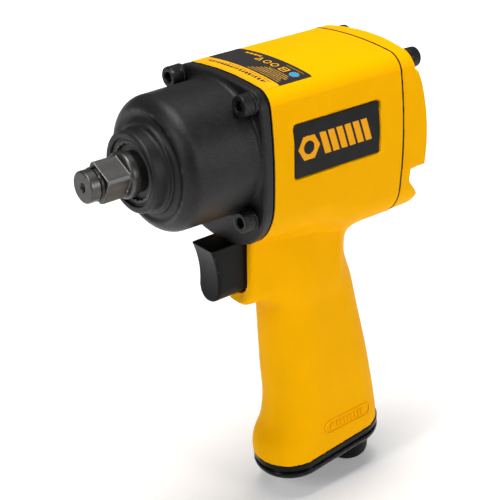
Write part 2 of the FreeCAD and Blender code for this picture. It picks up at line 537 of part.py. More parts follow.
# ---------------------------------------------------------------- housing and rear cover
def make_housing():
    front_corners, arcs = barrel_outline("front")
    rear_corners, _ = barrel_outline("rear")
    barrel = lofted_body("housing_barrel", "YZ_Plane", [
        ("flange_rear - gasket_thickness", "0", front_corners, arcs), ("seam", "0", rear_corners, arcs)])
    grip = lofted_body("housing_grip", "XY_Plane", [
        (f"{name}_height", "foot_tilt" if name == "foot" else "0",
         *slot_outline(f"{name}_front", f"{name}_rear", f"{name}_half_width"))
        for name, *sizes in GRIP_SECTIONS])
    boss = padded_body("trigger_boss", "XY_Plane", "boss_bottom", "boss_top - boss_bottom", [
        ("boss_rear", "0 - boss_rear_half_width"), ("boss_flare", "0 - boss_rear_half_width"),
        ("boss_front", "0 - boss_half_width"), ("boss_front", "boss_half_width"),
        ("boss_flare", "boss_rear_half_width"), ("boss_rear", "boss_rear_half_width")])
    boss_corner = named("Part::Fillet", "trigger_boss_rounded")
    boss_corner.Base = boss
    document.recompute()
    boss_corner.Edges = [(number, size_of("boss_round"), size_of("boss_round"))
                         for number, edge in enumerate(boss.Shape.Edges, start=1)
                         if lies_at(edge, size_of("boss_front"), size_of("boss_bottom"))]

    stem = ("throttle_x", "0")
    tools = [
        rod("motor_bore_tool", "motor_bore", "seam - 1", "flange_rear"),
        rod("reverse_bore_tool", "reverse_bushing_radius", "seam - 1", "reverse_front",
            ("0", "reverse_z")),
        block("trigger_slot_tool",
              ("trigger_rear - trigger_travel - slot_gap", "0 - trigger_half_width - slot_gap",
               "trigger_bottom - slot_gap"),
              ("boss_front + 1", "trigger_half_width + slot_gap", "trigger_top + slot_gap")),
        rod("rod_bore_tool", "rod_radius + rod_clearance", "rod_tip - trigger_travel - 0.6",
            "trigger_rear", ("0", "rod_z")),
        rod("stem_bore_tool", "stem_radius + rod_clearance", "chamber_top - 1", "rod_z", stem, "z"),
        rod("valve_chamber_tool", "throttle_chamber_radius", "throttle_chamber_bottom", "chamber_top",
            stem, "z"),
        rod("side_port_tool", "2.2", "throttle_x - 14.5", "throttle_x - 3", ("0", "chamber_top - 2.6")),
        rod("rising_port_tool", "2.2", "chamber_top - 2.6", "reverse_z", ("throttle_x - 12.6", "0"), "z"),
        rod("feed_port_tool", "2.6", "reverse_z", "dowel_z", ("throttle_x - 1", "8"), "z"),
        rod("exhaust_bore_tool", "exhaust_radius", "grip_seam - 8", "exhaust_top", ("exhaust_x", "0"), "z"),
    ]
    for side in (1, -1):
        tools.append(rod(f"exhaust_duct_{'left' if side > 0 else 'right'}", "exhaust_duct_radius",
                         "exhaust_top - 5", "0 - 15", ("exhaust_duct_x", f"{side} * exhaust_duct_y"), "z"))
        tools.append(plate_block(f"plate_recess_{'left' if side > 0 else 'right'}", side, "0.5", "6"))
    tools.append(tilted_rod("inlet_passage", "passage_radius", "0 - 8", "passage_length"))
    tools.append(tilted_rod("inlet_counterbore", "bush_neck_radius", "0 - 8", "0 - bush_inner_end"))
    for prefix, start, end in (("front", "flange_rear - screw_length", "flange_rear"),
                               ("rear", "seam - 1", "seam + screw_length")):
        tools += [rod(f"{prefix}_tapped_{index}", "screw_radius", start, end, place)
                  for index, place in enumerate(screw_places(prefix))]
    solid = fuse("housing_solid", barrel, grip, boss_corner)
    node(cut("housing_cut", solid, *tools), "motor_housing")


def lies_at(edge, x, z):
    """True for the straight edge across the tool at one x and height."""
    return all(abs(v.X - x) < 0.01 and abs(v.Z - z) < 0.01 for v in edge.Vertexes)


def tilted_rod(name, radius, start, end):
    """A cylinder along the inlet axis, measured up from the deflector's seam."""
    shape = named("Part::Cylinder", name)
    lean = math.radians(size_of("inlet_tilt"))
    shape.Placement = FreeCAD.Placement(V(0, 0, 0), FreeCAD.Rotation(Y_AXIS, size_of("inlet_tilt")))
    bind(shape, Radius=radius, Height=f"{end} - ( {start} )")
    bind(shape, Placement__Base__x=f"inlet_x + ( {start} ) * {math.sin(lean)}")
    bind(shape, Placement__Base__z=f"grip_seam + ( {start} ) * {math.cos(lean)}")
    return shape


def make_rear_cover():
    corners, arcs = barrel_outline("rear")
    gasket = padded_body("cover_gasket_sheet", "YZ_Plane", "seam - cover_gasket", "cover_gasket",
                         corners, arcs)
    places = screw_places("rear")
    holes = [rod(f"cover_gasket_hole_{index}", "screw_radius", "seam - 2", "seam + 2", place)
             for index, place in enumerate(places)]
    bore = rod("cover_gasket_bore", "motor_bore", "seam - 2", "seam + 2")
    valve = rod("cover_gasket_valve_hole", "reverse_bushing_radius", "seam - 2", "seam + 2",
                ("0", "reverse_z"))
    node(cut("cover_gasket_cut", gasket, bore, valve, *holes), "rear_cover_gasket")

    plug = padded_body("cover_plug", "YZ_Plane", "cover_back - 2", "seam - cover_gasket - cover_back + 2",
                       corners, arcs)
    dome = named("Part::Sphere", "cover_dome_ball")
    bind(dome, Radius="cover_dome", Placement__Base__x="cover_back + cover_dome",
         Placement__Base__z="cover_dome_z")
    domed = common("cover_domed", plug, dome)
    spigot = ring("cover_spigot", "motor_radius", "20.5", "seam - cover_gasket - 1", "end_plate_rear")
    hollow = rod("cover_hollow", "20.5", "cover_back + cover_wall + 3", "seam")
    inner_ball = named("Part::Sphere", "cover_inner_ball")
    bind(inner_ball, Radius="cover_dome - cover_wall", Placement__Base__x="cover_back + cover_dome",
         Placement__Base__z="cover_dome_z")
    inside = common("cover_inside", hollow, inner_ball)
    spigot_relief = rod("spigot_relief", "reverse_bushing_radius + 0.3", "seam - 1", "end_plate_rear",
                        ("0", "reverse_z"))
    tools = [inside]
    for index, (y, z) in enumerate(places):
        tools.append(rod(f"cover_hole_{index}", "screw_radius + 0.25", "screw_seat - 1", "seam", (y, z)))
        tools.append(rod(f"cover_notch_{index}", "screw_notch", "cover_back - 3", "screw_seat", (y, z)))
        side = 1 if index < 2 else -1
        outer = f"{side} * 40"
        low_y, high_y = (y, outer) if side > 0 else (outer, y)
        notch_top = f"{z} + screw_notch" if index % 2 == 0 else z
        tools.append(block(f"cover_side_notch_{index}",
                           ("cover_back - 3", low_y, f"{z} - screw_notch"),
                           ("screw_seat", high_y, notch_top)))
        if index % 2 == 0:
            tools.append(block(f"cover_top_notch_{index}",
                               ("cover_back - 3", f"{y} - screw_notch", z),
                               ("screw_seat", f"{y} + screw_notch", "40")))
    tools.append(rod("knob_recess_tool", "knob_recess", "cover_back - 3", "knob_front + 0.3",
                     ("0", "reverse_z")))
    tools.append(rod("knob_stem_hole", "reverse_stem_radius + running_gap", "knob_front - 1", "seam",
                     ("0", "reverse_z")))
    tools.append(rod("detent_hole", "detent_radius + 0.1", "knob_front", "knob_front + 7",
                     ("0", "reverse_z + detent_reach")))
    solid = fuse("cover_solid", domed, cut("cover_spigot_cut", spigot, spigot_relief))
    node(cut("cover_cut", solid, *tools), "rear_cover")


# ---------------------------------------------------------------- controls
def make_reverse_valve():
    place = ("0", "reverse_z")
    shell = ring("reverse_shell", "reverse_bushing_radius", "reverse_valve_radius + running_gap",
                 "seam - cover_gasket", "reverse_front", place)
    port = rod("reverse_port", "2.2", "reverse_z - 9", "reverse_z", ("throttle_x - 12.6", "0"), "z")
    feed = rod("reverse_feed", "2.2", "reverse_z", "reverse_z + 9", ("throttle_x - 6", "0"), "z")
    node(cut("reverse_shell_cut", shell, port, feed), "reverse_valve_bushing")
    spool = rod("reverse_spool", "reverse_valve_radius", "seam", "reverse_front - 0.5", place)
    stem = rod("reverse_stem", "reverse_stem_radius", "knob_front - 2", "seam + 1", place)
    flute = block("reverse_flute", ("seam + 4", "1.6", "reverse_z - 6"),
                  ("reverse_front - 4", "6", "reverse_z + 6"))
    node(cut("reverse_spool_cut", fuse("reverse_spool_solid", spool, stem), flute), "reverse_valve")
    disc = rod("knob_disc", "knob_radius", "knob_disc_rear", "knob_front", place)
    bar = block("knob_bar", ("knob_rear", "0 - knob_bar_width / 2", "reverse_z - knob_radius + 0.6"),
                ("knob_disc_rear", "knob_bar_width / 2", "reverse_z + knob_radius - 0.6"))
    socket = rod("knob_socket", "reverse_stem_radius", "knob_front - 2", "knob_front + 1", place)
    track = named("Part::Torus", "knob_detent_track")
    track.Placement = FreeCAD.Placement(V(0, 0, 0), TURNS["x"])
    bind(track, Radius1="detent_reach", Radius2="detent_radius + 0.15",
         Placement__Base__x="knob_front + 0.6", Placement__Base__z="reverse_z")
    node(cut("knob_cut", fuse("knob_solid", disc, bar), socket, track), "reverse_knob")
    ball = named("Part::Sphere", "detent_ball_sphere")
    bind(ball, Radius="detent_radius", Placement__Base__x="knob_front + 0.6",
         Placement__Base__z="reverse_z + detent_reach")
    node(ball, "detent_ball")
    node(ring("detent_coil", "detent_radius", "detent_radius - 0.5", "knob_front + 2.1", "knob_front + 7",
              ("0", "reverse_z + detent_reach")), "detent_spring")


def make_trigger():
    shoe = padded_body("trigger_shoe", "XZ_Plane", "0 - trigger_half_width", "2 * trigger_half_width", [
        ("trigger_rear", "trigger_bottom"), ("trigger_front - 9", "trigger_bottom"),
        ("trigger_front - 3.8", "trigger_bottom + 5.6"), ("trigger_front", "trigger_top"),
        ("trigger_rear", "trigger_top")],
        {1: ("5.6", 1), 2: ("finger_hollow", -1)})
    socket = rod("trigger_socket", "rod_radius", "trigger_rear", "trigger_rear + 9", ("0", "rod_z"))
    node(cut("trigger_cut", shoe, socket), "trigger")
    bar = rod("push_rod", "rod_radius", "rod_tip", "trigger_rear + 9", ("0", "rod_z"))
    wedge = padded_body("rod_wedge", "XZ_Plane", "0 - rod_radius - 1", "2 * rod_radius + 2", [
        ("rod_tip - 1", "rod_z - rod_radius - 1"),
        ("throttle_x + ( stem_contact - rod_z + rod_radius + 1 ) / rod_slope", "rod_z - rod_radius - 1"),
        ("rod_tip - 1", "stem_contact + ( throttle_x - rod_tip + 1 ) * rod_slope")])
    node(cut("push_rod_cut", bar, wedge), "trigger_rod")


def make_throttle():
    place = ("throttle_x", "0")
    head = rod("throttle_head", "valve_radius", "valve_bottom", "valve_top", place, "z")
    stem = rod("throttle_stem", "stem_radius", "valve_top", "rod_z + rod_radius", place, "z")
    guide = rod("throttle_guide", "spring_inner - 0.1", "valve_bottom - 3", "valve_bottom", place, "z")
    slope = padded_body("stem_slope", "XZ_Plane", "0 - 3", "6", [
        ("throttle_x - 3", "stem_contact - 0.06 + 3 * rod_slope"),
        ("throttle_x + 3", "stem_contact - 0.06 - 3 * rod_slope"),
        ("throttle_x + 3", "rod_z + rod_radius + 2"), ("throttle_x - 3", "rod_z + rod_radius + 2")])
    node(cut("throttle_stem_cut", fuse("throttle_solid", head, stem, guide), slope), "throttle_valve")
    node(ring("seat_ring", "throttle_chamber_radius", "seat_hole", "seat_bottom", "seat_top", place, "z"),
         "throttle_seat")
    node(ring("spring_tube", "spring_outer", "spring_inner", "spring_bottom", "valve_bottom", place, "z"),
         "throttle_spring")
    node(ring("retainer_ring", "throttle_chamber_radius", "2.4", "retainer_bottom", "spring_bottom",
              place, "z"), "spring_retainer")


# ---------------------------------------------------------------- base and inlet
def make_base():
    foot = ("foot_front", "foot_rear", "foot_half_width")
    rounded = []
    for height, inset in (("foot_height", "0"), ("foot_height - 4.6", "0"),
                          ("deflector_bottom + 1.4", "2.0"), ("deflector_bottom", "4.4")):
        rounded.append((height, "foot_tilt", *slot_outline(*foot, inset)))
    body = lofted_body("deflector_body", "XY_Plane", rounded, ruled=True)
    bush_hole = tilted_rod("deflector_bush_hole", "bush_neck_radius", "0 - 16", "2")
    seat = tilted_rod("deflector_bush_seat", "bush_radius", "0 - 20", "0 - 6.0")
    outlet = rod("deflector_outlet", "exhaust_radius", "muffler_bottom - 7.6", "muffler_bottom + 4",
                 ("exhaust_x", "0"), "z")
    vents = [rod(f"deflector_vent_{row}_{column}", "1.5", "deflector_bottom - 1", "muffler_bottom - 7",
                 (f"exhaust_x + {4.6 * row}", f"{4.6 * column}"), "z")
             for row in (-1, 0, 1) for column in (-1, 0, 1)]
    node(cut("deflector_cut", body, bush_hole, seat, outlet, *vents), "exhaust_deflector")
    node(rod("silencer", "exhaust_radius", "muffler_bottom", "muffler_top", ("exhaust_x", "0"), "z"),
         "exhaust_muffler")

    bush = turned_body("bush_body", [
        ("bush_inner_end", "bush_bore"), ("bush_inner_end", "bush_neck_radius"), ("6.0", "bush_neck_radius"),
        ("6.0", "bush_radius"), ("bush_end - 3.4", "bush_radius"), ("bush_end", "bush_radius - 1.6"),
        ("bush_end", "thread_radius"), ("bush_end - thread_length", "thread_radius"),
        ("bush_end - thread_length", "bush_bore")])
    tip_down = FreeCAD.Rotation(Y_AXIS, 90 + size_of("inlet_tilt"))
    bush.Placement = FreeCAD.Placement(V(0, 0, 0), tip_down)
    bind(bush, Placement__Base__x="inlet_x", Placement__Base__z="grip_seam")
    node(bush, "air_inlet")
    screen = turned_body("screen_body", [
        ("bush_inner_end - 0.8", "0"), ("bush_inner_end - 0.8", "passage_radius"),
        ("bush_inner_end", "passage_radius"), ("bush_inner_end", "0")])
    screen.Placement = FreeCAD.Placement(V(0, 0, 0), tip_down)
    bind(screen, Placement__Base__x="inlet_x", Placement__Base__z="grip_seam")
    node(screen, "inlet_screen")


def plate_block(label, side, margin, rise):
    """A block on a name plate's own plane, which follows the barrel's splayed and leaning side."""
    shape = named("Part::Box", label)
    width, height = "( plate_x_front - plate_x_rear )", "( plate_top - plate_bottom )"
    bind(shape, Length=f"{width} + 2 * {margin}", Height=f"{height} + 2 * {margin}")
    bind(shape, Width=f"plate_thickness + {rise}")
    splay = FreeCAD.Rotation(Z_AXIS, -side * size_of("plate_splay"))
    turned = splay.multiply(FreeCAD.Rotation(X_AXIS, side * size_of("plate_lean")))
    middle = V(size_of("plate_x_front + plate_x_rear") / 2, side * size_of("plate_face"),
               size_of("plate_top + plate_bottom") / 2)
    low_y = size_of("0 - plate_thickness") if side > 0 else size_of(f"0 - {rise}")
    corner = V(size_of(f"0 - {width} / 2 - {margin}"), low_y, size_of(f"0 - {height} / 2 - {margin}"))
    shape.Placement = FreeCAD.Placement(middle + turned.multVec(corner), turned)
    return shape


def make_name_plates():
    for side, label in ((1, "name_plate_left"), (-1, "name_plate_right")):
        node(plate_block(label + "_sheet", side, "0", "0"), label)


make_anvil()
make_hammer_case()
for screw_set, seat_plane, heading, screw_label, washer_label in (
        ("front", "flange_front", 1, "case_screws", "case_screw_washers"),
        ("rear", "screw_seat", -1, "cover_screws", "cover_screw_washers")):
    screw_solids, washer_solids = make_screws(screw_set, seat_plane, heading)
    node(group(screw_label + "_group", *screw_solids), screw_label)
    node(group(washer_label + "_group", *washer_solids), washer_label)
make_clutch()
make_motor()
make_housing()
make_rear_cover()
make_reverse_valve()
make_trigger()
make_throttle()
make_base()
make_name_plates()
document.recompute()

# ---------------------------------------------------------------- checks and files
for thing in document.Objects:
    if "Invalid" in thing.State or "Error" in thing.State:
        raise RuntimeError(f"{thing.Name} failed to build: {thing.State}")
os.makedirs("parts", exist_ok=True)
for part in nodes:
    if part.Shape.isNull() or not part.Shape.isValid():
        raise RuntimeError(f"{part.Label} has no valid shape")
for part in nodes:
    part.Shape.exportStep(f"parts/{part.Label}.step")
    box = part.Shape.BoundBox
    print(f"{part.Label:24s} solids {len(part.Shape.Solids)} volume {part.Shape.Volume:10.1f} mm3, "
          f"x {box.XMin:.1f} to {box.XMax:.1f}, y {box.YMin:.1f} to {box.YMax:.1f}, "
          f"z {box.ZMin:.1f} to {box.ZMax:.1f}")
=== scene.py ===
import json
import math

import bpy
import numpy as np
from mathutils import Matrix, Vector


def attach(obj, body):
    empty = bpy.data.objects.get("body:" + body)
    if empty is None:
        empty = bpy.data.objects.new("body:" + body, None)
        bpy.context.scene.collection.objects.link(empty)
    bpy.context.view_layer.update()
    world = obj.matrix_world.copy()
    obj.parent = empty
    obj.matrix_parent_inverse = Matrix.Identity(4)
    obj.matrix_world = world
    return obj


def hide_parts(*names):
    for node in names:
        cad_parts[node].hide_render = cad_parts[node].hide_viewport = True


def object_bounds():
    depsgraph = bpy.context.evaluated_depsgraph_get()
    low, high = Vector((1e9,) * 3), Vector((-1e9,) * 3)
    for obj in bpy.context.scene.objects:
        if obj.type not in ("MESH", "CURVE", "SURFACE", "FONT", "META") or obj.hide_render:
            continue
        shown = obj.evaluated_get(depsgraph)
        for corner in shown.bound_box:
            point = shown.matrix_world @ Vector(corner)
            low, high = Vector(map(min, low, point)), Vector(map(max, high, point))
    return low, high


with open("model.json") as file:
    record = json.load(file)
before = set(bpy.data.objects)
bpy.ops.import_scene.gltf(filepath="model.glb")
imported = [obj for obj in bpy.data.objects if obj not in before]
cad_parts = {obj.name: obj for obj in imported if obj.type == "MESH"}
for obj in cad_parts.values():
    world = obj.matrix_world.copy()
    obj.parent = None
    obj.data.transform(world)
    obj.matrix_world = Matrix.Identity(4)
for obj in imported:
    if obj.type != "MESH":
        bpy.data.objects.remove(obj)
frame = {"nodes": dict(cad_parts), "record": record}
cad_low, cad_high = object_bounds()

# ---------------------------------------------------------------- anvil
# The output shaft: a phosphated steel bar with a ground square, a turned nose with a centre
# hole and a ring groove, and two hammer jaws behind its bearing. One forging, then ground.
drive_half, drive_turn = 6.35, math.radians(27.8)
groove_start, groove_middle, groove_end = 10.3, 11.3, 12.3
nose_end, hole_bottom = 16.4, 12.4


def both(a, b, edge=0.0):
    """Distance to what lies inside a and b, with the outer corner between them rounded."""
    flat_part = np.minimum(np.maximum(a, b), -edge)
    return flat_part + np.hypot(np.maximum(a + edge, 0), np.maximum(b + edge, 0))


def weld(a, b, fillet=0.0):
    """Distance to a and b joined, with a fillet in the inner corner between them."""
    flat_part = np.maximum(np.minimum(a, b), fillet)
    return flat_part - np.hypot(np.maximum(fillet - a, 0), np.maximum(fillet - b, 0))


def between(along, start, end):
    """Distance to the slab between two planes."""
    return np.abs(along - (start + end) / 2) - abs(end - start) / 2


def bar(along, across, other, start, end, radius, edge=0.0):
    """Distance to a round bar between two planes, with rounded rims."""
    return both(np.hypot(across, other) - radius, between(along, start, end), edge)


def brick(x, y, z, low, high, edge=0.0):
    """Distance to a block between two corners, with rounded edges."""
    return both(both(between(x, low[0], high[0]), between(y, low[1], high[1]), edge),
                between(z, low[2], high[2]), edge)


def skin(name, distance, low, high, step, edges=()):
    """Mesh the surface where a distance in millimetres is zero, and drop every point onto it.
    The grid is finer along X on both sides of the given edges."""
    finer = np.array([-0.8, -0.45, -0.2, -0.04, 0.04, 0.2, 0.45, 0.8])
    step = np.ones(3) * step
    lines = [np.arange(a, b + s, s) for a, b, s in zip(low, high, step)]
    for edge in edges:
        apart = np.abs(lines[0] - edge) > step[0]
        lines[0] = np.union1d(lines[0][apart], edge + step[0] * finer)
    value = distance(*np.meshgrid(*lines, indexing="ij"))
    jump = np.array([value.shape[1] * value.shape[2], value.shape[2], 1])
    total, hits, quads = np.zeros((3, value.size)), np.zeros(value.size), []
    for axis in range(3):
        left, right = (axis + 1) % 3, (axis + 2) % 3
        near = np.moveaxis(value, axis, 0)[:-1]
        far = np.moveaxis(value, axis, 0)[1:]
        place = np.argwhere((near < 0) != (far < 0))
        start, end = near[tuple(place.T)], far[tuple(place.T)]
        order = [axis] + [other for other in range(3) if other != axis]
        cell = np.empty_like(place)
        cell[:, order] = place
        point = cell.astype(float)
        point[:, axis] += start / (start - end)
        number = cell @ jump
        corners = [number - jump[left] - jump[right], number - jump[right], number, number - jump[left]]
        for corner in corners:
            hits += np.bincount(corner, minlength=value.size)
            for side in range(3):
                total[side] += np.bincount(corner, weights=point[:, side], minlength=value.size)
        quad = np.stack(corners, 1)
        quad[start >= 0] = quad[start >= 0][:, ::-1]
        quads.append(quad)
    used = np.flatnonzero(hits)
    points = np.stack([np.interp(total[side, used] / hits[used], np.arange(len(lines[side])), lines[side])
                       for side in range(3)], 1)
    renumber = np.zeros(value.size, int)
    renumber[used] = np.arange(len(used))
    nudge, least_steepness, rounds = 0.02, 0.2, 4
    for _ in range(rounds):
        slope = np.stack([distance(*(points + side * nudge).T) - distance(*(points - side * nudge).T)
                          for side in np.eye(3)], 1) / (2 * nudge)
        steepness = np.maximum((slope ** 2).sum(1), least_steepness)
        drop = np.clip(distance(*points.T), -step.min(), step.min()) / steepness
        points -= drop[:, None] * slope
    mesh = bpy.data.meshes.new(name)
    mesh.from_pydata((points / 1000).tolist(), [], renumber[np.concatenate(quads)].tolist())
    mesh.polygons.foreach_set("use_smooth", [True] * len(mesh.polygons))
    slope /= np.maximum(np.linalg.norm(slope, axis=1), 1e-6)[:, None]
    mesh.normals_split_custom_set_from_vertices(slope.tolist())
    piece = bpy.data.objects.new(name, mesh)
    bpy.context.scene.collection.objects.link(piece)
    return piece


def surface(name, dark, light, rough, grain, bump, metallic=0.0, stretch=(1, 1, 1), wear=None, painted_glint=0.0,
            specular=0.5):
    """A finish worked out on the piece's own millimetres: broad and fine tones, a grain that
    sets bump and gloss, painted glints (bright grey spots painted into the grain's colour), and edges worn to
    another colour."""
    darkest, brightest = 0.3, 0.7
    material = bpy.data.materials.new(name)
    material.use_nodes = True
    nodes, links = material.node_tree.nodes, material.node_tree.links
    shader = nodes["Principled BSDF"]
    shader.inputs["Metallic"].default_value = metallic
    shader.inputs["Specular IOR Level"].default_value = specular
    place = nodes.new("ShaderNodeTexCoord")
    millimetres = nodes.new("ShaderNodeMapping")
    millimetres.inputs["Scale"].default_value = [1000 * side for side in stretch]
    links.new(place.outputs["Object"], millimetres.inputs["Vector"])

    def noise(size, detail):
        texture = nodes.new("ShaderNodeTexNoise")
        texture.inputs["Scale"].default_value = 1 / size
        texture.inputs["Detail"].default_value = detail
        links.new(millimetres.outputs["Vector"], texture.inputs["Vector"])
        return texture.outputs["Fac"]

    def stretched(value, low, high, bottom, top):
        spread = nodes.new("ShaderNodeMapRange")
        for socket, number in zip(("From Min", "From Max", "To Min", "To Max"), (low, high, bottom, top)):
            spread.inputs[socket].default_value = number
        links.new(value, spread.inputs["Value"])
        return spread.outputs["Result"]

    def blend(share, first, second):
        mixed = nodes.new("ShaderNodeMix")
        mixed.data_type = "RGBA"
        links.new(share, mixed.inputs["Factor"])
        for socket, colour in ((6, first), (7, second)):
            if isinstance(colour, tuple):
                mixed.inputs[socket].default_value = (*colour, 1)
            else:
                links.new(colour, mixed.inputs[socket])
        return mixed.outputs[2]

    fine, broad = noise(grain, 3), noise(grain * 22, 2)
    tone = nodes.new("ShaderNodeMath")
    tone.operation = "ADD"
    links.new(stretched(fine, darkest, brightest, 0.0, 0.5), tone.inputs[0])
    links.new(stretched(broad, darkest, brightest, 0.0, 0.5), tone.inputs[1])
    colour = blend(tone.outputs[0], dark, light)
    # Painted glints: bright grey spots mixed into the base colour where the fine noise peaks, painted in
    # place of sparkling reflections on the coat.
    if painted_glint:
        colour = blend(stretched(noise(grain * 0.7, 1), 0.66, 0.74, 0.0, painted_glint), colour, (0.55, 0.55, 0.55))
    if wear:
        shape = nodes.new("ShaderNodeNewGeometry")
        colour = blend(stretched(shape.outputs["Pointiness"], 0.53, 0.62, 0.0, 0.85), colour, wear)
    links.new(colour, shader.inputs["Base Color"])
    links.new(stretched(fine, darkest, brightest, *rough), shader.inputs["Roughness"])
    relief = nodes.new("ShaderNodeBump")
    relief.inputs["Strength"].default_value = 0.6
    relief.inputs["Distance"].default_value = bump / 1000
    links.new(fine, relief.inputs["Height"])
    links.new(relief.outputs["Normal"], shader.inputs["Normal"])
    return material


def square_drive(x, y, z):
    flat = y * math.cos(drive_turn) - z * math.sin(drive_turn)
    other = y * math.sin(drive_turn) + z * math.cos(drive_turn)
    sides = both(np.abs(flat) - drive_half, np.abs(other) - drive_half)
    corners = (np.abs(flat) + np.abs(other)) / math.sqrt(2) - 8.06
    square = both(both(sides, corners, 0.15), between(x, -1, groove_start), 0.35)
    return both(square, np.hypot(y, z) - 8.3 + (x - groove_start), 0.15)


def anvil_shape(x, y, z):
    nose = bar(x, y, z, 5.0, nose_end, 6.3, 0.6)
    groove = both(between(x, groove_start, groove_end), 4.7 - np.hypot(y, z))
    shape = both(weld(square_drive(x, y, z), nose), -groove)
    shape = weld(shape, bar(x, y, z, -4.4, 0, 9.2, 1.1), 0.5)
    shape = weld(shape, bar(x, y, z, -22.8, -2, 8.0, 0.4), 0.3)
    shape = weld(shape, bar(x, y, z, -46.2, -20, 6.8, 0.4), 0.4)
    shape = weld(shape, bar(x, y, z, -52.5, -44, 4.5, 0.5), 0.5)
    for start, side in ((-34.0, 1), (-45.6, -1)):
        jaw = brick(x, y * side, z, (start + 0.3, 0, -4.4), (start + 10.9, 12, 4.4), 0.5)
        shape = weld(shape, both(jaw, np.hypot(y, z) - 9.5, 0.5), 0.4)
    hole_radius = 1.9 * np.clip((x - hole_bottom) / 4, 0, 1)
    centre_hole = both(np.hypot(y, z) - hole_radius, hole_bottom - x)
    return both(shape, -centre_hole, 0.1)


anvil_steel = surface("anvil_steel", (0.06, 0.059, 0.057), (0.12, 0.117, 0.113), (0.30, 0.44), 0.16, 0.02,
                      metallic=0.9, stretch=(0.12, 1, 1), wear=(0.55, 0.54, 0.53))
anvil = skin("forged_anvil", anvil_shape, (-53.1, -9.9, -9.9), (17, 9.9, 9.9), 0.27)
anvil.data.materials.append(anvil_steel)
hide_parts("anvil")
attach(anvil, "anvil_body")

# ---------------------------------------------------------------- anvil seal
# A steel-backed lip seal, pressed into the hub round the anvil. Its flat rim shows, and its
# lip lies deeper, ragged with grease, in the gap beside the anvil's collar.


def seal_shape(x, y, z):
    out, turn = np.hypot(y, z), np.arctan2(z, y)
    ragged = 11.0 + 0.22 * np.sin(23 * turn) + 0.16 * np.sin(41 * turn + 1)
    rim = both(between(out, 8.1, 13.35), between(x, -8, -5.7), 0.25)
    lip = both(out - ragged, -7.45 - x)
    line = both(between(out, 12.35, 12.75), -5.95 - x)
    return both(rim, -np.minimum(lip, line), 0.12)


seal_steel = surface("seal_steel", (0.04, 0.04, 0.04), (0.10, 0.10, 0.10), (0.45, 0.62), 0.25, 0.03,
                     metallic=0.5, wear=(0.24, 0.24, 0.24))
seal = skin("lip_seal", seal_shape, (-8.6, -14, -14), (-5.2, 14, 14), 0.24)
seal.data.materials.append(seal_steel)
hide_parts("anvil_seal")
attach(seal, "root")

# ---------------------------------------------------------------- socket retaining rings
# A rubber O-ring fills the bottom of the nose groove and pushes a split steel ring outwards,
# so that it catches in a socket. Both are sprung into the groove by hand.


def rubber_ring(x, y, z):
    return np.hypot(np.hypot(y, z) - 5.2, (x - groove_middle) * 0.72) - 0.52


def split_ring(x, y, z):
    section = both(between(np.hypot(y, z), 5.72, 6.6), between(x, 10.6, 12.0), 0.3)
    return both(section, -both(np.abs(y) - 0.9, -z), 0.2)


black_rubber = surface("black_rubber", (0.005, 0.005, 0.005), (0.014, 0.014, 0.014), (0.45, 0.65), 0.3, 0.02,
                       specular=0.3)
ring_steel = surface("ring_steel", (0.02, 0.02, 0.02), (0.05, 0.05, 0.05), (0.30, 0.45), 0.2, 0.01,
                     metallic=0.9, wear=(0.30, 0.30, 0.30))
for name, shape, finish, node, slot in (
        ("rubber_ring", rubber_ring, black_rubber, "retaining_ring_oring", "black_rubber"),
        ("split_ring", split_ring, ring_steel, "socket_retaining_ring", "black_oxide_steel")):
    ring = skin(name, shape, (9.9, -7, -7), (12.7, 7, 7), 0.16)
    ring.data.materials.append(finish)
    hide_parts(node)
    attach(ring, "anvil_body")

# ---------------------------------------------------------------- hammer case
# The cast nose of the tool: hub, step, dished face and drum on a flange with the barrel's
# outline. Aluminium, powder coated a fine textured black, bored for the clutch and anvil.
flange_front, case_back, housing_front = -46.3, -51.0, -51.5
barrel_length, motor_bore = 67.9, 23.6
crown_radius, flank_radius = 150, 190


def barrel_section(x, y, z):
    """Distance to the barrel's outline, which grows from the flange to the seam and has a
    fuller belly where the grip meets it."""
    rearwards = np.clip((housing_front - x) / barrel_length, 0, 1.3)
    crown = np.hypot(y, z + 120.33 + 0.05 * rearwards) - crown_radius
    widest_z = -2.2 - 3.1 * rearwards
    leaning = np.abs(y) + 0.0355 * (z - widest_z)
    flank = np.hypot(leaning - 29.28 - 1.65 * rearwards + flank_radius, z - widest_z) - flank_radius
    round_below = 50 + 40 * rearwards
    belly = np.clip((rearwards - 0.4) / 0.3, 0, 1)
    rising = np.clip((rearwards - 0.8) / 0.45, 0, 1)
    lowest = (-40.37 - 3.49 * rearwards
              - 3.4 * belly ** 2 * (3 - 2 * belly) * (1 - 0.7 * rising ** 2 * (3 - 2 * rising)))
    below = np.hypot(y, z - lowest - round_below) - round_below
    below = np.where(z > lowest + round_below, -60, below)
    return both(both(flank, np.maximum(below, -60), 9.5), crown, 5.4)


def hammer_case_shape(x, y, z):
    out = np.hypot(y, z)
    taper = 27.6 - 0.5 * np.clip((x + 46) / 27, 0, 1)
    dish = 0.9 * np.exp(-((out - 20.3) / 1.5) ** 2)
    drum = both(out - taper, between(x, -51, -12.45 - dish), 6.7)
    step = bar(x, y, z, -20, -11.0, 18.2, 0.8)
    hub = bar(x, y, z, -20, -4.7, 16.25, 1.1)
    flange = both(barrel_section(housing_front, y, z), between(x, case_back, flange_front), 1.1)
    shape = weld(weld(drum, step, 0.8), hub, 1.0)
    shape = weld(shape, flange, 2.0)
    bores = bar(x, y, z, -53, -17.3, 23.3, 3)
    bores = np.minimum(bores, bar(x, y, z, -18, -8, 10.5))
    bores = np.minimum(bores, bar(x, y, z, -8, 0, 13.4, 0.4))
    return both(shape, -bores, 0.35)
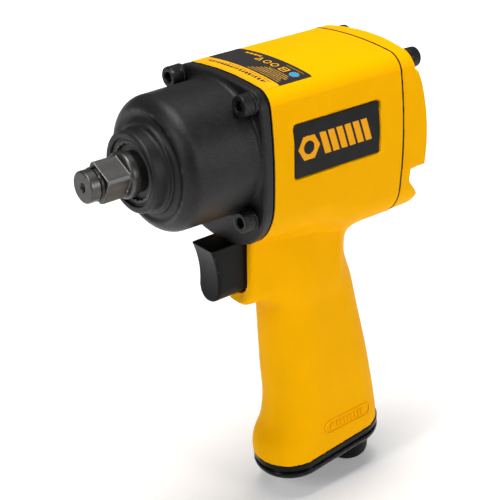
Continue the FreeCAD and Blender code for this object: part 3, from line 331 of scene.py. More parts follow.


# The black powder coat carries painted glints: bright grey spots painted into its colour as sparkle.
case_black = surface("black_powder_coat", (0.004, 0.004, 0.0042), (0.012, 0.012, 0.0125), (0.30, 0.46), 0.34,
                     0.22, painted_glint=0.12, wear=(0.04, 0.04, 0.04), specular=0.25)
case = skin("cast_hammer_case", hammer_case_shape, (-52.5, -30.6, -42.6), (-3.8, 30.6, 31.4), 0.72,
            (case_back,))
case.data.materials.append(case_black)
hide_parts("hammer_case")
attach(case, "root")

# ---------------------------------------------------------------- case gasket
# A half millimetre fibre gasket between the case and the housing, cut to the same outline.


def case_gasket_shape(x, y, z):
    sheet = both(barrel_section(housing_front, y, z) + 0.1, between(x, housing_front, case_back))
    return both(sheet, motor_bore - np.hypot(y, z))


gasket_black = surface("gasket_fibre", (0.006, 0.006, 0.006), (0.014, 0.014, 0.014), (0.7, 0.85), 0.4, 0.02,
                       specular=0.15)
gasket = skin("case_fibre_gasket", case_gasket_shape, (-51.9, -30.5, -42), (-50.6, 30.5, 31),
              (0.12, 0.7, 0.7))
gasket.data.materials.append(gasket_black)
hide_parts("case_gasket")
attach(gasket, "root")

# ---------------------------------------------------------------- case and cover screws
# M5 socket cap screws on split spring washers: four draw the case onto the housing, and four
# hold the rear cover. Black oxide steel, each one stopped at its own angle.
case_corner, cover_corner = (21.9, 23.8), (20.3, 22.4)
cover_ledge, cover_head_seat = -127.9, -128.3


def cap_screw_shape(x, y, z):
    """A screw standing on its washer along +X, with the washer's seat at zero."""
    head = bar(x, y, z, 1.6, 6.6, 4.25, 0.55)
    knurled = (np.abs(x - 4.0) < 1.7) * (np.hypot(y, z) > 3.9)
    knurl = 0.05 * np.cos(36 * np.arctan2(z, y)) * knurled
    shank = bar(x, y, z, -18.4, 2.2, 2.45, 0.5)
    flat = np.maximum(np.abs(y), np.abs(y) / 2 + np.abs(z) * math.sqrt(3) / 2) - 2.0
    socket = both(flat, 4.0 - x)
    rim = np.hypot(y, z) - 2.2 - (x - 6.3)
    return both(weld(head + knurl, shank), -np.minimum(socket, both(rim, 6.0 - x)), 0.12)


def spring_washer_shape(x, y, z):
    slit = both(np.abs(y + 0.35 * (x - 0.8)) - 0.35, -z)
    return both(both(between(np.hypot(y, z), 2.6, 4.4), between(x, 0, 1.6), 0.2), -slit, 0.1)


def spread_on_corners(name, master, material, half_width, half_height, seat, about_z):
    """Repeat a fastener on a flange's four corners, each turned by a fixed random angle."""
    tree = bpy.data.node_groups.new(name + "_layout", "GeometryNodeTree")
    tree.interface.new_socket("Geometry", in_out="OUTPUT", socket_type="NodeSocketGeometry")
    sockets = {}
    for label, kind, size in (("Fastener", "NodeSocketObject", master),
                              ("Finish", "NodeSocketMaterial", material),
                              ("Width", "NodeSocketFloat", half_width * 0.002),
                              ("Height", "NodeSocketFloat", half_height * 0.002),
                              ("Seat", "NodeSocketFloat", seat * 0.001),
                              ("Heading", "NodeSocketFloat", about_z)):
        sockets[tree.interface.new_socket(label, in_out="INPUT", socket_type=kind).identifier] = size
    nodes, links = tree.nodes, tree.links
    sizes, result = nodes.new("NodeGroupInput"), nodes.new("NodeGroupOutput")
    corners = nodes.new("GeometryNodeMeshGrid")
    corners.inputs["Vertices X"].default_value = 2
    corners.inputs["Vertices Y"].default_value = 2
    links.new(sizes.outputs["Height"], corners.inputs["Size X"])
    links.new(sizes.outputs["Width"], corners.inputs["Size Y"])
    stand = nodes.new("GeometryNodeTransform")
    stand.inputs["Rotation"].default_value = (0, math.pi / 2, 0)
    place = nodes.new("ShaderNodeCombineXYZ")
    links.new(sizes.outputs["Seat"], place.inputs["X"])
    links.new(corners.outputs["Mesh"], stand.inputs["Geometry"])
    links.new(place.outputs["Vector"], stand.inputs["Translation"])
    angle = nodes.new("FunctionNodeRandomValue")
    angle.data_type = "FLOAT"
    angle.inputs[3].default_value = math.pi / 3
    angle.inputs["Seed"].default_value = 7
    turn = nodes.new("ShaderNodeCombineXYZ")
    links.new(angle.outputs[1], turn.inputs["X"])
    links.new(sizes.outputs["Heading"], turn.inputs["Z"])
    fastener = nodes.new("GeometryNodeObjectInfo")
    links.new(sizes.outputs["Fastener"], fastener.inputs["Object"])
    repeat = nodes.new("GeometryNodeInstanceOnPoints")
    links.new(stand.outputs["Geometry"], repeat.inputs["Points"])
    links.new(fastener.outputs["Geometry"], repeat.inputs["Instance"])
    links.new(turn.outputs["Vector"], repeat.inputs["Rotation"])
    real = nodes.new("GeometryNodeRealizeInstances")
    finish = nodes.new("GeometryNodeSetMaterial")
    links.new(repeat.outputs["Instances"], real.inputs["Geometry"])
    links.new(real.outputs["Geometry"], finish.inputs["Geometry"])
    links.new(sizes.outputs["Finish"], finish.inputs["Material"])
    links.new(finish.outputs["Geometry"], result.inputs["Geometry"])
    carrier = bpy.data.objects.new(name + "_carrier", bpy.data.meshes.new(name + "_carrier"))
    bpy.context.scene.collection.objects.link(carrier)
    layout = carrier.modifiers.new("layout", "NODES")
    layout.node_group = tree
    for identifier, size in sockets.items():
        layout[identifier] = size
    graph = bpy.context.evaluated_depsgraph_get()
    mesh = bpy.data.meshes.new_from_object(carrier.evaluated_get(graph))
    bpy.data.objects.remove(carrier)
    piece = bpy.data.objects.new(name, mesh)
    bpy.context.scene.collection.objects.link(piece)
    return piece


worn_oxide = (0.12, 0.12, 0.12)
screw_black = surface("black_oxide_screw", (0.008, 0.008, 0.0082), (0.022, 0.022, 0.0225), (0.32, 0.48), 0.12,
                      0.015, metallic=0.4, wear=worn_oxide, specular=0.3)
washer_black = surface("black_oxide_washer", (0.006, 0.006, 0.006), (0.018, 0.018, 0.018), (0.35, 0.5), 0.15,
                       0.015, metallic=0.4, wear=worn_oxide, specular=0.25)
screw = skin("cap_screw", cap_screw_shape, (-18.9, -4.7, -4.7), (7.1, 4.7, 4.7), 0.25)
washer = skin("spring_washer", spring_washer_shape, (-0.4, -4.8, -4.8), (2.0, 4.8, 4.8), 0.2)
for name, master, finish, seat, corner, heading, node in (
        ("case_cap_screws", screw, screw_black, flange_front, case_corner, 0.0, "case_screws"),
        ("case_spring_washers", washer, washer_black, flange_front, case_corner, 0.0, "case_screw_washers"),
        ("cover_cap_screws", screw, screw_black, cover_head_seat, cover_corner, math.pi, "cover_screws"),
        ("cover_spring_washers", washer, washer_black, cover_ledge, cover_corner, math.pi,
         "cover_screw_washers")):
    fasteners = spread_on_corners(name, master, finish, *corner, seat, heading)
    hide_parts(node)
    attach(fasteners, "root")
for master in (screw, washer):
    bpy.data.objects.remove(master)

# ---------------------------------------------------------------- motor housing
# Barrel, trigger boss and pistol grip in one aluminium casting, painted a warm yellow. It is
# bored from behind for the air motor and from below for the throttle, air inlet and exhaust.
housing_back, foot_z = -119.4, -166.9
reverse_z, rod_z, throttle_x, exhaust_x = -31.8, -51.5, -96, -86
inlet_x, inlet_z, inlet_lean = -119.6, -157, math.radians(12)
grip_heights = np.array([-36.0, -47, -60, -76, -92, -115, -138, -146, -152.5, foot_z])
grip_fronts = np.array([-62.0, -65, -68.6, -70.2, -71.2, -72.8, -74.3, -72.9, -69.4, -69.0])
grip_rears = np.array([-118.6, -113, -110.8, -115.7, -120.0, -126.3, -131.6, -133.2, -134.3, -136])
grip_halves = np.array([15.5, 16, 16.4, 16.6, 16.6, 16.8, 17, 17.1, 17.2, 17.2])
foot_tilt = math.radians(4.8)


def smooth_line(heights, sizes):
    """A cubic through the stations, as a function of height."""
    rising, values = heights[::-1], sizes[::-1]
    gaps = np.diff(rising)
    slopes = np.diff(values) / gaps
    tangents = np.concatenate([slopes[:1], (slopes[1:] * gaps[:-1] + slopes[:-1] * gaps[1:])
                               / (gaps[1:] + gaps[:-1]), slopes[-1:]])

    def at(z):
        index = np.clip(np.searchsorted(rising, z) - 1, 0, len(gaps) - 1)
        share = np.clip((z - rising[index]) / gaps[index], 0, 1)
        rest = 1 - share
        bend = gaps[index] * share * rest * (tangents[index] * rest - tangents[index + 1] * share)
        lower, upper = values[index] * rest ** 2, values[index + 1] * share ** 2
        return lower * (1 + 2 * share) + upper * (3 - 2 * share) + bend
    return at


grip_front, grip_rear = smooth_line(grip_heights, grip_fronts), smooth_line(grip_heights, grip_rears)
grip_half = smooth_line(grip_heights, grip_halves)


def grip_shape(x, y, z):
    half = grip_half(z)
    front, rear = grip_front(z) - half, grip_rear(z) + half
    return np.hypot(x - np.clip(x, np.minimum(rear, front), front), y) - half


def foot_depth(x, z):
    """Distance below the plane where the exhaust deflector meets the grip."""
    return -(x * math.sin(foot_tilt) + (z - foot_z) * math.cos(foot_tilt))


def inlet_axis(x, z):
    """Along the air inlet's axis from the grip's foot outwards, and across it."""
    along = -(x - inlet_x) * math.sin(inlet_lean) - (z - inlet_z) * math.cos(inlet_lean)
    across = (x - inlet_x) * math.cos(inlet_lean) - (z - inlet_z) * math.sin(inlet_lean)
    return along, across


def housing_outside(x, y, z):
    barrel = both(barrel_section(x, y, z), between(x, -140, -30))
    slant = 5.3 / 27
    width = 10.3 + slant * np.clip(-55 - x, 0, 27)
    boss = both(np.abs(y) - width, -73.8 - z, 8.8)
    boss = both(both(boss, x + 55, 1.4), z + 30)
    boss = both(boss, -96 - x)
    shape = weld(barrel, boss, 3.0)
    shape = weld(shape, both(grip_shape(x, y, z), z + 30), 8.5)
    shape = both(shape, x - housing_front, 0.35)
    shape = both(shape, -both(x - housing_back, -60 - z), 0.35)
    return both(shape, foot_depth(x, z), 0.4)


def housing_shape(x, y, z):
    along, across = inlet_axis(x, z)
    hollow = bar(x, y, z, -121, -50, motor_bore)
    hollow = np.minimum(hollow, bar(x, y, z - reverse_z, -121, -90, 7.1))
    slot = both(both(np.abs(y) - 7.1, -67.9 - z, 6.0), between(x, -66.4, -50))
    hollow = np.minimum(hollow, both(slot, z + 41.4, 0.5))
    hollow = np.minimum(hollow, bar(x, y, z - rod_z, -104.2, -61, 2.75))
    hollow = np.minimum(hollow, bar(z, x - throttle_x, y, -92, -54.5, 6.6))
    hollow = np.minimum(hollow, bar(z, x - throttle_x, y, -56, -47.5, 2.0))
    hollow = np.minimum(hollow, bar(z, x - exhaust_x, y, -170, -78, 7.1))
    hollow = np.minimum(hollow, bar(along, across, y, -78, 8, 5.9))
    hollow = np.minimum(hollow, bar(along, across, y, -14.2, 8, 7.0))
    recess = both(between(x, -107.2, -61.4), between(z, -10.1, 12.8), 1.6)
    recess = both(recess, -1.45 - barrel_section(x, y, z))
    hollow = np.minimum(hollow, both(recess, 20 - np.abs(y)))
    return both(housing_outside(x, y, z), -hollow, 0.3)


housing_yellow = surface("yellow_housing_paint", (0.89, 0.415, 0.0), (0.94, 0.445, 0.0), (0.44, 0.54), 0.5,
                         0.012, specular=0.015)
housing = skin("cast_motor_housing", housing_shape, (-138, -33, -164), (-50.6, 33, 31.6), 0.95,
               (-51.7, -119.15))
housing.data.materials.append(housing_yellow)
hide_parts("motor_housing")
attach(housing, "root")

# ---------------------------------------------------------------- oiling mark
# A raised capsule cast into the grip's left side near the foot. It stands for the words that
# such tools carry there, with a drop of oil and slanted bars in their place.


def oiling_mark_shape(x, y, z):
    along, up = x + 106.2, z + 145.6
    capsule = np.hypot(along - np.clip(along, -10.9, 10.9), up) - 3.2
    marks = np.abs(capsule) - 0.34
    beside_drop = along - 9.6
    drop = np.hypot(beside_drop, up + 0.5) - 1.35
    tip = both(np.abs(beside_drop) * 0.9 + (up - 2.0) * 0.5, -0.5 - up)
    marks = np.minimum(marks, weld(drop, tip, 0.2))
    for step in range(8):
        leaning = along - 6.3 + step * 2.15 - 0.25 * up
        marks = np.minimum(marks, both(np.abs(leaning) - 0.42, np.abs(up) - 1.9, 0.1))
    casting = housing_outside(x, y, z)
    return both(both(casting - 0.5, -0.5 - casting), marks, 0.1)


mark = skin("cast_oiling_mark", oiling_mark_shape, (-121.5, 14.2, -149.6), (-91.0, 18.6, -141.6), 0.18)
mark.data.materials.append(housing_yellow)
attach(mark, "root")

# ---------------------------------------------------------------- name plates
# Thin black plates with a fine grain, glued into a shallow recess on each side. The print is
# a plain hexagon nut and a row of slanted bars.
plate_x, plate_z = -84.3, 1.35


def printed(name, ground, first, second, third, rough, grain, bump):
    """A finish like surface(), on which a point's ink value picks the ground or one of three inks."""
    material = surface(name, *ground, rough, grain, bump, specular=0.12)
    nodes, links = material.node_tree.nodes, material.node_tree.links
    shader = nodes["Principled BSDF"]
    ink = nodes.new("ShaderNodeAttribute")
    ink.attribute_name = "ink"
    base = shader.inputs["Base Color"].links[0].from_socket
    crisp = 0.1
    for number, colour in enumerate((first, second, third), 1):
        share = nodes.new("ShaderNodeMapRange")
        share.inputs["From Min"].default_value = number - 0.5 - crisp
        share.inputs["From Max"].default_value = number - 0.5 + crisp
        links.new(ink.outputs["Fac"], share.inputs["Value"])
        mixed = nodes.new("ShaderNodeMix")
        mixed.data_type = "RGBA"
        links.new(share.outputs["Result"], mixed.inputs["Factor"])
        links.new(base, mixed.inputs[6])
        mixed.inputs[7].default_value = (*colour, 1)
        base = mixed.outputs[2]
    links.new(base, shader.inputs["Base Color"])
    return material


def hexagon_distance(first, second):
    return np.maximum(np.abs(second), np.abs(second) / 2 + np.abs(first) * math.sqrt(3) / 2)


def plate_ink(forward, up):
    """1 where the plate is printed: forward runs towards the nose from the plate's middle."""
    nut_x, above, bar_pitch = 15.0, up - 0.6, 4.35
    nut = hexagon_distance(forward - nut_x, above)
    marks = both(nut - 4.8, 2.7 - np.hypot(forward - nut_x, above))
    for step in range(6):
        leaning = forward - 6.6 + step * bar_pitch - 0.3 * above
        marks = np.minimum(marks, both(np.abs(leaning) - 1.6, np.abs(above) - 4.6))
    return np.where(marks < 0, 1.0, 0.0)


def plate_shape(x, y, z):
    """The plate is bent to the barrel's side, a little below its surface."""
    outline = both(between(x, -106.7, -61.9), between(z, -9.6, 12.3), 1.2)
    return both(both(outline, between(barrel_section(x, y, z), -1.4, -0.7), 0.12), 20 - y)


plate_black = printed("plate_print", ((0.008, 0.008, 0.0085), (0.019, 0.019, 0.020)), (0.88, 0.37, 0.0),
                      (0, 0, 0), (0, 0, 0), (0.40, 0.52), 0.28, 0.02)
for name, side, node in (("left_name_plate", 1, "name_plate_left"),
                         ("right_name_plate", -1, "name_plate_right")):
    def sided_plate(x, y, z, side=side):
        return plate_shape(x, y * side, z)
    reach = sorted((side * 26.0, side * 31.0))
    plate = skin(name, sided_plate, (-107.4, reach[0], -10.4), (-61.2, reach[1], 13.1), (0.24, 0.2, 0.24))
    places = np.array([point.co for point in plate.data.vertices]) * 1000
    ink = plate.data.attributes.new("ink", "FLOAT", "POINT")
    ink.data.foreach_set("value", plate_ink((places[:, 0] - plate_x) * side, places[:, 2] - plate_z))
    plate.data.materials.append(plate_black)
    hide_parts(node)
    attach(plate, "root")

# ---------------------------------------------------------------- crown label
# A printed foil stuck across the crown behind the flange: a yellow band, then a black field
# with fine rules, plain safety signs and a blue disc.
label_rows, label_columns = 150, 240
label_front, label_length, label_half_turn = -52.0, 23.8, 0.685


def label_ink(back, across):
    """0 black, 1 yellow, 2 dull yellow, 3 blue: back from the front edge, across from the middle."""
    band_end, sign_row, rule_pitch = 7.2, 18.4, 1.25
    ink = np.where(back < band_end, 1.0, 0.0)
    words = np.sin(2.3 * across) + np.sin(5.1 * across + 1)
    letters = np.sin(3.4 * across + 0.8 * back) > -0.62
    title = (np.abs(back - 4.1) < 0.95) & letters & (words > -1.3) & (across > -17) & (across < 18)
    ink = np.where(title, 0.0, ink)
    subtitle = (np.abs(back - 6.1) < 0.2) & (np.sin(7 * across) > -0.6) & (across > -6) & (across < 19)
    ink = np.where(subtitle, 0.0, ink)
    for row in range(6):
        rule = np.abs(back - 8.7 - rule_pitch * row) < 0.2
        ink = np.where(rule & (across > 2 + 1.1 * row) & (across < 20.4 - 0.7 * (row % 3)), 2.0, ink)
    beside, above = np.abs(across - 12.6), np.abs(back - 18.2)
    square = np.maximum(above, beside)
    ink = np.where((square < 1.9) & (square > 1.35), 1.0, ink)
    ink = np.where((above < 0.35) & (beside < 0.9), 1.0, ink)
    for middle in (7.0, 2.6):
        loop = np.hypot(back - sign_row, across - middle)
        ink = np.where((loop < 1.75) & (loop > 1.2), 1.0, ink)
    beyond = back - sign_row
    triangle = np.maximum(np.abs(across + 2.2) * 0.9 + beyond * 0.45 - 0.9, -beyond - 1.5)
    ink = np.where(np.abs(triangle + 0.2) < 0.28, 1.0, ink)
    ink = np.where((np.abs(back - 21.0) < 0.6) & (across > -14) & (across < -4) & (words > -0.7), 1.0, ink)
    ink = np.where((np.abs(back - 21.9) < 0.14) & (across > 10) & (across < 20), 2.0, ink)
    disc = np.hypot(back - 18.3, across - 18.4)
    ink = np.where(disc < 2.0, 3.0, ink)
    return ink


label_back, label_turn = np.meshgrid(np.linspace(0, label_length, label_rows),
                                     np.linspace(-label_half_turn, label_half_turn, label_columns),
                                     indexing="ij")
label_x = label_front - label_back
near_side, far_side = np.full(label_x.shape, 20.0), np.full(label_x.shape, 45.0)
halvings = 34
for _ in range(halvings):
    halfway = (near_side + far_side) / 2
    inside = barrel_section(label_x, halfway * np.sin(label_turn), halfway * np.cos(label_turn)) < 0
    near_side, far_side = np.where(inside, halfway, near_side), np.where(inside, far_side, halfway)
sheets = []
for lift in (0.10, -0.15):
    height = near_side + lift
    sheets.append(np.stack([label_x, height * np.sin(label_turn), height * np.cos(label_turn)], -1))
points = np.concatenate([sheet.reshape(-1, 3) for sheet in sheets]) / 1000
count = label_rows * label_columns
numbers = np.arange(count).reshape(label_rows, label_columns)
cells = np.stack([numbers[:-1, :-1], numbers[1:, :-1], numbers[1:, 1:], numbers[:-1, 1:]], -1).reshape(-1, 4)
rim = np.concatenate([numbers[0, :], numbers[1:, -1], numbers[-1, -2::-1], numbers[-2:0:-1, 0]])
after = np.roll(rim, -1)
walls = np.stack([rim, after, after + count, rim + count], 1)
label_mesh = bpy.data.meshes.new("crown_label")
label_mesh.from_pydata(points.tolist(), [], np.concatenate([cells[:, ::-1], cells + count, walls]).tolist())
label_mesh.polygons.foreach_set("use_smooth", [True] * len(cells) * 2 + [False] * len(walls))
ink = label_mesh.attributes.new("ink", "FLOAT", "POINT")
ink.data.foreach_set("value", np.tile(label_ink(label_back, sheets[0][..., 1]).ravel(), 2))
label = bpy.data.objects.new("crown_label", label_mesh)
bpy.context.scene.collection.objects.link(label)
label_print = printed("label_print", ((0.022, 0.021, 0.020), (0.030, 0.028, 0.026)), (0.88, 0.42, 0.0),
                      (0.30, 0.19, 0.05), (0.03, 0.30, 0.62), (0.4, 0.5), 0.4, 0.004)
label_mesh.materials.append(label_print)
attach(label, "root")

# ---------------------------------------------------------------- rear cover
# The cap behind the air motor, with its gasket. A casting painted like the housing, domed at
# the back, notched at its corners for the screws and recessed for the reverse knob.
cover_front, cover_spigot = -120.0, 20.5


def cover_gasket_shape(x, y, z):
    sheet = both(barrel_section(-119.7, y, z) - 0.14, between(x, cover_front, housing_back))
    return both(sheet, motor_bore - np.hypot(y, z))


def rear_cover_shape(x, y, z):
    side = np.abs(y)
    dome_radius, dome_wall = 112, 4
    dome_out = np.sqrt((x + 26.4) ** 2 + y ** 2 + (z + 12) ** 2)
    shape = both(barrel_section(x, y, z), x - cover_front, 0.3)
    edge = 1.0 + 2.4 * np.clip((z - 14) / 10, 0, 1)
    shape = both(shape, dome_out - dome_radius, edge)
    upper = both(14.7 - side, 19.4 - z, 3.0)
    ear_face = -125.2
    ear = (1.15 * (x - ear_face) - z - 28.0) * 0.65
    lower = both(both(14.7 - side, z + 22.0, 0.6), ear, 0.4)
    shape = both(shape, -both(upper, x - cover_ledge, 0.6), 0.7)
    shape = both(shape, -both(lower, x - cover_ledge, 0.4), 0.4)
    shape = both(shape, -both(both(lower, 25.6 - side, 0.4), x - ear_face, 0.4), 0.4)
    screw_y, screw_z = cover_corner
    for head_z in (-screw_z, screw_z):
        clearance = both(np.hypot(side - screw_y, z - head_z) - 5.0, x - cover_ledge)
        shape = both(shape, -clearance, 0.4)
    hollow = both(dome_out - (dome_radius - dome_wall), np.hypot(y, z) - cover_spigot)
    hollow = np.minimum(hollow, bar(x, y, z - reverse_z, -150, -127.7, 8.6, 0.3))
    hollow = np.minimum(hollow, bar(x, y, z - reverse_z, -150, -110, 3.3))
    shape = both(shape, -hollow, 0.5)
    spigot = both(between(np.hypot(y, z), cover_spigot, 23.45), between(x, -121, -112.1), 0.4)
    relief = np.hypot(y, z - reverse_z) - 7.3
    return np.minimum(shape, both(spigot, -relief))


for name, shape, finish, low, high, step, node, slot in (
        ("cover_fibre_gasket", cover_gasket_shape, gasket_black, (-120.4, -32, -45), (-119.0, 32, 31.5),
         (0.14, 0.7, 0.7), "rear_cover_gasket", "gasket_fibre"),
        ("cast_rear_cover", rear_cover_shape, housing_yellow, (-140.0, -32.5, -45.5), (-111, 32.5, 31.8),
         0.62, "rear_cover", "yellow_housing")):
    piece = skin(name, shape, low, high, step, () if finish == gasket_black else (-120.2, cover_ledge))
    piece.data.materials.append(finish)
    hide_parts(node)
    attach(piece, "root")

# ---------------------------------------------------------------- reverse knob
# The lever at the back that turns the reverse valve: a black disc with a finger bar, pressed
# on the valve's stem.


def reverse_knob_shape(x, y, z):
    up = z - reverse_z
    disc = bar(x, y, up, -132, -128.05, 8, 0.7)
    waist = 2.2 - 0.5 * np.exp(-(up / 3.5) ** 2)
    finger = both(both(np.abs(y) - waist, np.abs(up) - 7.4, 1.6), between(x, -138.2, -130), 0.7)
    return both(weld(disc, finger, 0.8), -bar(x, y, up, -130, -127, 3.25))


knob = skin("reverse_finger_knob", reverse_knob_shape, (-138.8, -8.6, -40.4), (-127.4, 8.6, -23.2), 0.3)
knob.data.materials.append(case_black)
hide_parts("reverse_knob")
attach(knob, "reverse_body")

# ---------------------------------------------------------------- trigger
# A moulded black shoe on the push rod. It slides straight back into a slot in the housing,
# and its front is hollowed for one finger.


def trigger_shape(x, y, z):
    """A tongue, round at its foot, with a hollowed front."""
    tongue = both(np.abs(y) - 6.8, -67.6 - z, 6.6)
    hollow = 40 - np.hypot(x + 0.9, z + 58.4)
    shoe = both(tongue, hollow, 1.2)
    shoe = both(both(shoe, z + 41.7, 0.4), -61 - x, 0.4)
    return both(shoe, -bar(x, y, z - rod_z, -62, -52, 2.55))


trigger_black = surface("trigger_plastic", (0.0015, 0.0015, 0.0016), (0.004, 0.004, 0.0042), (0.30, 0.40),
                        0.4, 0.02, wear=(0.02, 0.02, 0.02), specular=0.12)
trigger = skin("moulded_trigger", trigger_shape, (-61.8, -7.2, -68.2), (-36.4, 7.2, -41.0), 0.4)
trigger.data.materials.append(trigger_black)
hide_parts("trigger")
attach(trigger, "trigger_body")

# ---------------------------------------------------------------- exhaust deflector
# The grip's foot: a glossy black moulding with a rounded bead round it and exhaust holes in
# its sole. The air inlet's bush passes through it and holds it.


def deflector_shape(x, y, z):
    depth = foot_depth(x, z)
    along = x * math.cos(foot_tilt) - (z - foot_z) * math.sin(foot_tilt)
    inset = np.interp(depth, (0, 0.3, 2.7, 3.1, 3.7, 4.5, 5.6, 6.8, 7.8, 8.6, 9.3),
                      (0.2, 0.02, 0.02, 1.1, 1.1, 0.1, 0.0, 0.4, 1.2, 2.5, 4.2))
    outline = np.hypot(along - np.clip(along, -118.8, -86.4), y) - 17.2 + inset
    shape = both(both(outline, -depth, 0.2), depth - 9.2, 0.8)
    inlet_along, inlet_across = inlet_axis(x, z)
    hollow = bar(inlet_along, inlet_across, y, -16, 40, 7.0)
    hollow = np.minimum(hollow, bar(inlet_along, inlet_across, y, 5.9, 40, 10.0))
    hollow = np.minimum(hollow, bar(z, x - exhaust_x, y, -164.6, -150, 7.0))
    hole_pitch = 4.6
    for row in (-1, 0, 1):
        for column in (-1, 0, 1):
            hole = bar(z, x - exhaust_x - hole_pitch * row, y - hole_pitch * column, -180, -160, 1.5)
            hollow = np.minimum(hollow, hole)
    return both(shape, -hollow, 0.2)


deflector_black = surface("deflector_plastic", (0.001, 0.001, 0.001), (0.003, 0.003, 0.003), (0.14, 0.22),
                          0.5, 0.01, specular=0.15)
deflector = skin("moulded_exhaust_deflector", deflector_shape, (-137.4, -18, -177.2), (-67.0, 18, -154.2),
                 0.5)
deflector.data.materials.append(deflector_black)
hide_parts("exhaust_deflector")
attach(deflector, "root")

# ---------------------------------------------------------------- air inlet
# A blackened steel bush, screwed up into the grip. It has a tapered rim outside, and a pipe
# thread inside takes the hose fitting.


def air_inlet_shape(x, y, z):
    along, across = inlet_axis(x, z)
    out = np.hypot(across, y)
    radius, pitch = 9.9, 1.41
    neck, head = bar(along, across, y, -14, 8, 6.9, 0.3), bar(along, across, y, 6.0, 22.4, radius, 1.5)
    shape = weld(neck, head, 0.2)
    shape = both(shape, out - radius + (along - 18.4) * 0.25, 0.8)
    winding = (along - pitch * np.arctan2(y, across) / (2 * math.pi)) / pitch
    thread = 5.55 + 0.5 * (np.abs(winding % 1 - 0.5) - 0.25)
    thread = np.where(along > 8.4, thread + 0.5 * np.clip(along - 21.4, 0, 1), 5.3)
    return both(shape, thread - out, 0.1)


inlet_black = surface("blackened_inlet", (0.002, 0.002, 0.002), (0.008, 0.008, 0.008), (0.42, 0.62), 0.3,
                      0.05, specular=0.12)
inlet = skin("screwed_air_inlet", air_inlet_shape, (-135.2, -10.6, -182.2), (-108.0, 10.6, -140.5), 0.36)
inlet.data.materials.append(inlet_black)
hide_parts("air_inlet")
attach(inlet, "root")

# ---------------------------------------------------------------- works inside the castings
# The clutch, air motor, valves, bearings and seals keep their engineered shapes. Each takes
# the finish of what it is made of.
inner_finishes = {
    "machined_steel": surface("machined_steel", (0.30, 0.30, 0.31), (0.46, 0.46, 0.47), (0.24, 0.38), 0.15,
                              0.008, metallic=1.0, stretch=(1, 0.2, 0.2)),
    "hardened_steel": surface("hardened_steel", (0.20, 0.20, 0.21), (0.34, 0.33, 0.33), (0.20, 0.34), 0.12,
                              0.006, metallic=1.0),
    "bronze": surface("bearing_bronze", (0.42, 0.24, 0.10), (0.58, 0.36, 0.16), (0.34, 0.5), 0.2, 0.01,
                      metallic=1.0),
    "vane_fibre": surface("vane_fibre", (0.20, 0.09, 0.04), (0.32, 0.16, 0.07), (0.6, 0.75), 0.3, 0.02,
                          stretch=(0.2, 1, 1)),
    "felt": surface("silencer_felt", (0.30, 0.29, 0.27), (0.50, 0.48, 0.45), (0.9, 1.0), 0.35, 0.12),
    "anvil_steel": anvil_steel, "black_oxide_steel": ring_steel, "black_rubber": black_rubber,
    "gasket_fibre": gasket_black, "yellow_housing": housing_yellow, "black_case": case_black,
    "trigger_plastic": trigger_black, "deflector_plastic": deflector_black, "plate_print": plate_black,
}
for row in frame["record"]["subparts"]:
    part = frame["nodes"][row["node"]]
    part.data.materials.clear()
    part.data.materials.append(inner_finishes[row["material_slot"]])

# ---------------------------------------------------------------- studio
# A pale floor just under the inlet, three soft boxes round the tool, a fourth over the floor
# behind it, and the camera.
floor_mesh = bpy.data.meshes.new("studio_floor")
reach, ground = 4.0, cad_low[2] - 0.0004
floor_mesh.from_pydata([(-reach, -reach, ground), (reach, -reach, ground), (reach, reach, ground),
                        (-reach, reach, ground)], [], [(0, 1, 2, 3)])
floor = bpy.data.objects.new("studio_floor", floor_mesh)
bpy.context.scene.collection.objects.link(floor)
pale_floor = surface("pale_floor", (0.86, 0.86, 0.86), (0.90, 0.90, 0.90), (0.8, 0.9), 4.0, 0.0)
floor_shader = pale_floor.node_tree.nodes["Principled BSDF"]
floor_shader.inputs["Emission Color"].default_value = (1, 1, 1, 1)
floor_shader.inputs["Emission Strength"].default_value = 0.15
floor.data.materials.append(pale_floor)

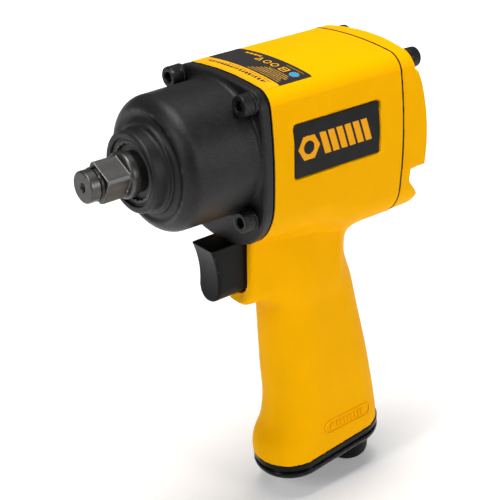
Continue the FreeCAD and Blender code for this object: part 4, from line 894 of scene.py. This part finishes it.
world = bpy.data.worlds.new("soft_room")
bpy.context.scene.world = world
world.use_nodes = True
room = world.node_tree.nodes["Background"]
room.inputs["Color"].default_value = (1, 1, 1, 1)
room.inputs["Strength"].default_value = 0.15


def softbox(name, place, aim, width, height, power, spread=math.pi):
    """A rectangular lamp at a place, turned towards its aim."""
    lamp = bpy.data.lights.new(name, "AREA")
    lamp.spread = spread
    lamp.shape = "RECTANGLE"
    lamp.size, lamp.size_y, lamp.energy = width, height, power
    light = bpy.data.objects.new(name, lamp)
    bpy.context.scene.collection.objects.link(light)
    back = np.array(place, float) - np.array(aim, float)
    back /= np.linalg.norm(back)
    right = np.cross((0, 0, 1), back)
    right /= np.linalg.norm(right)
    up = np.cross(back, right)
    light.matrix_world = Matrix([[right[0], up[0], back[0], place[0]], [right[1], up[1], back[1], place[1]],
                                 [right[2], up[2], back[2], place[2]], [0, 0, 0, 1]])


middle = (-0.06, 0.0, -0.06)
softbox("overhead_softbox", (0.0, 0.0, 0.9), middle, 0.42, 0.42, 8.3)
softbox("nose_softbox", (0.7, 0.05, 0.36), middle, 0.12, 0.34, 2.7)
softbox("side_softbox", (-0.35, 0.85, 0.25), middle, 0.36, 0.36, 3.1)
softbox("floor_softbox", (-0.95, -1.05, 1.4), (-0.9, -1.0, -0.2), 1.5, 1.5, 12, 1.1)
bpy.context.scene.view_settings.view_transform = "Standard"

view_turn, view_drop, view_roll = math.radians(39.618), math.radians(26.698), math.radians(-0.470)
forward = np.array([-math.cos(view_drop) * math.sin(view_turn), -math.cos(view_drop) * math.cos(view_turn),
                    -math.sin(view_drop)])
level = np.array([-math.cos(view_turn), math.sin(view_turn), 0])
upright = np.cross(level, forward)
right = math.cos(view_roll) * level + math.sin(view_roll) * upright
upright = -math.sin(view_roll) * level + math.cos(view_roll) * upright
lens = bpy.data.cameras.new("view_camera")
lens.lens, lens.sensor_width = 93.6, 36
camera = bpy.data.objects.new("view_camera", lens)
bpy.context.scene.collection.objects.link(camera)
eye = (0.24672, 0.37399, 0.19276)
camera.matrix_world = Matrix([[right[i], upright[i], -forward[i], eye[i]] for i in range(3)] + [[0, 0, 0, 1]])
bpy.context.scene.camera = camera
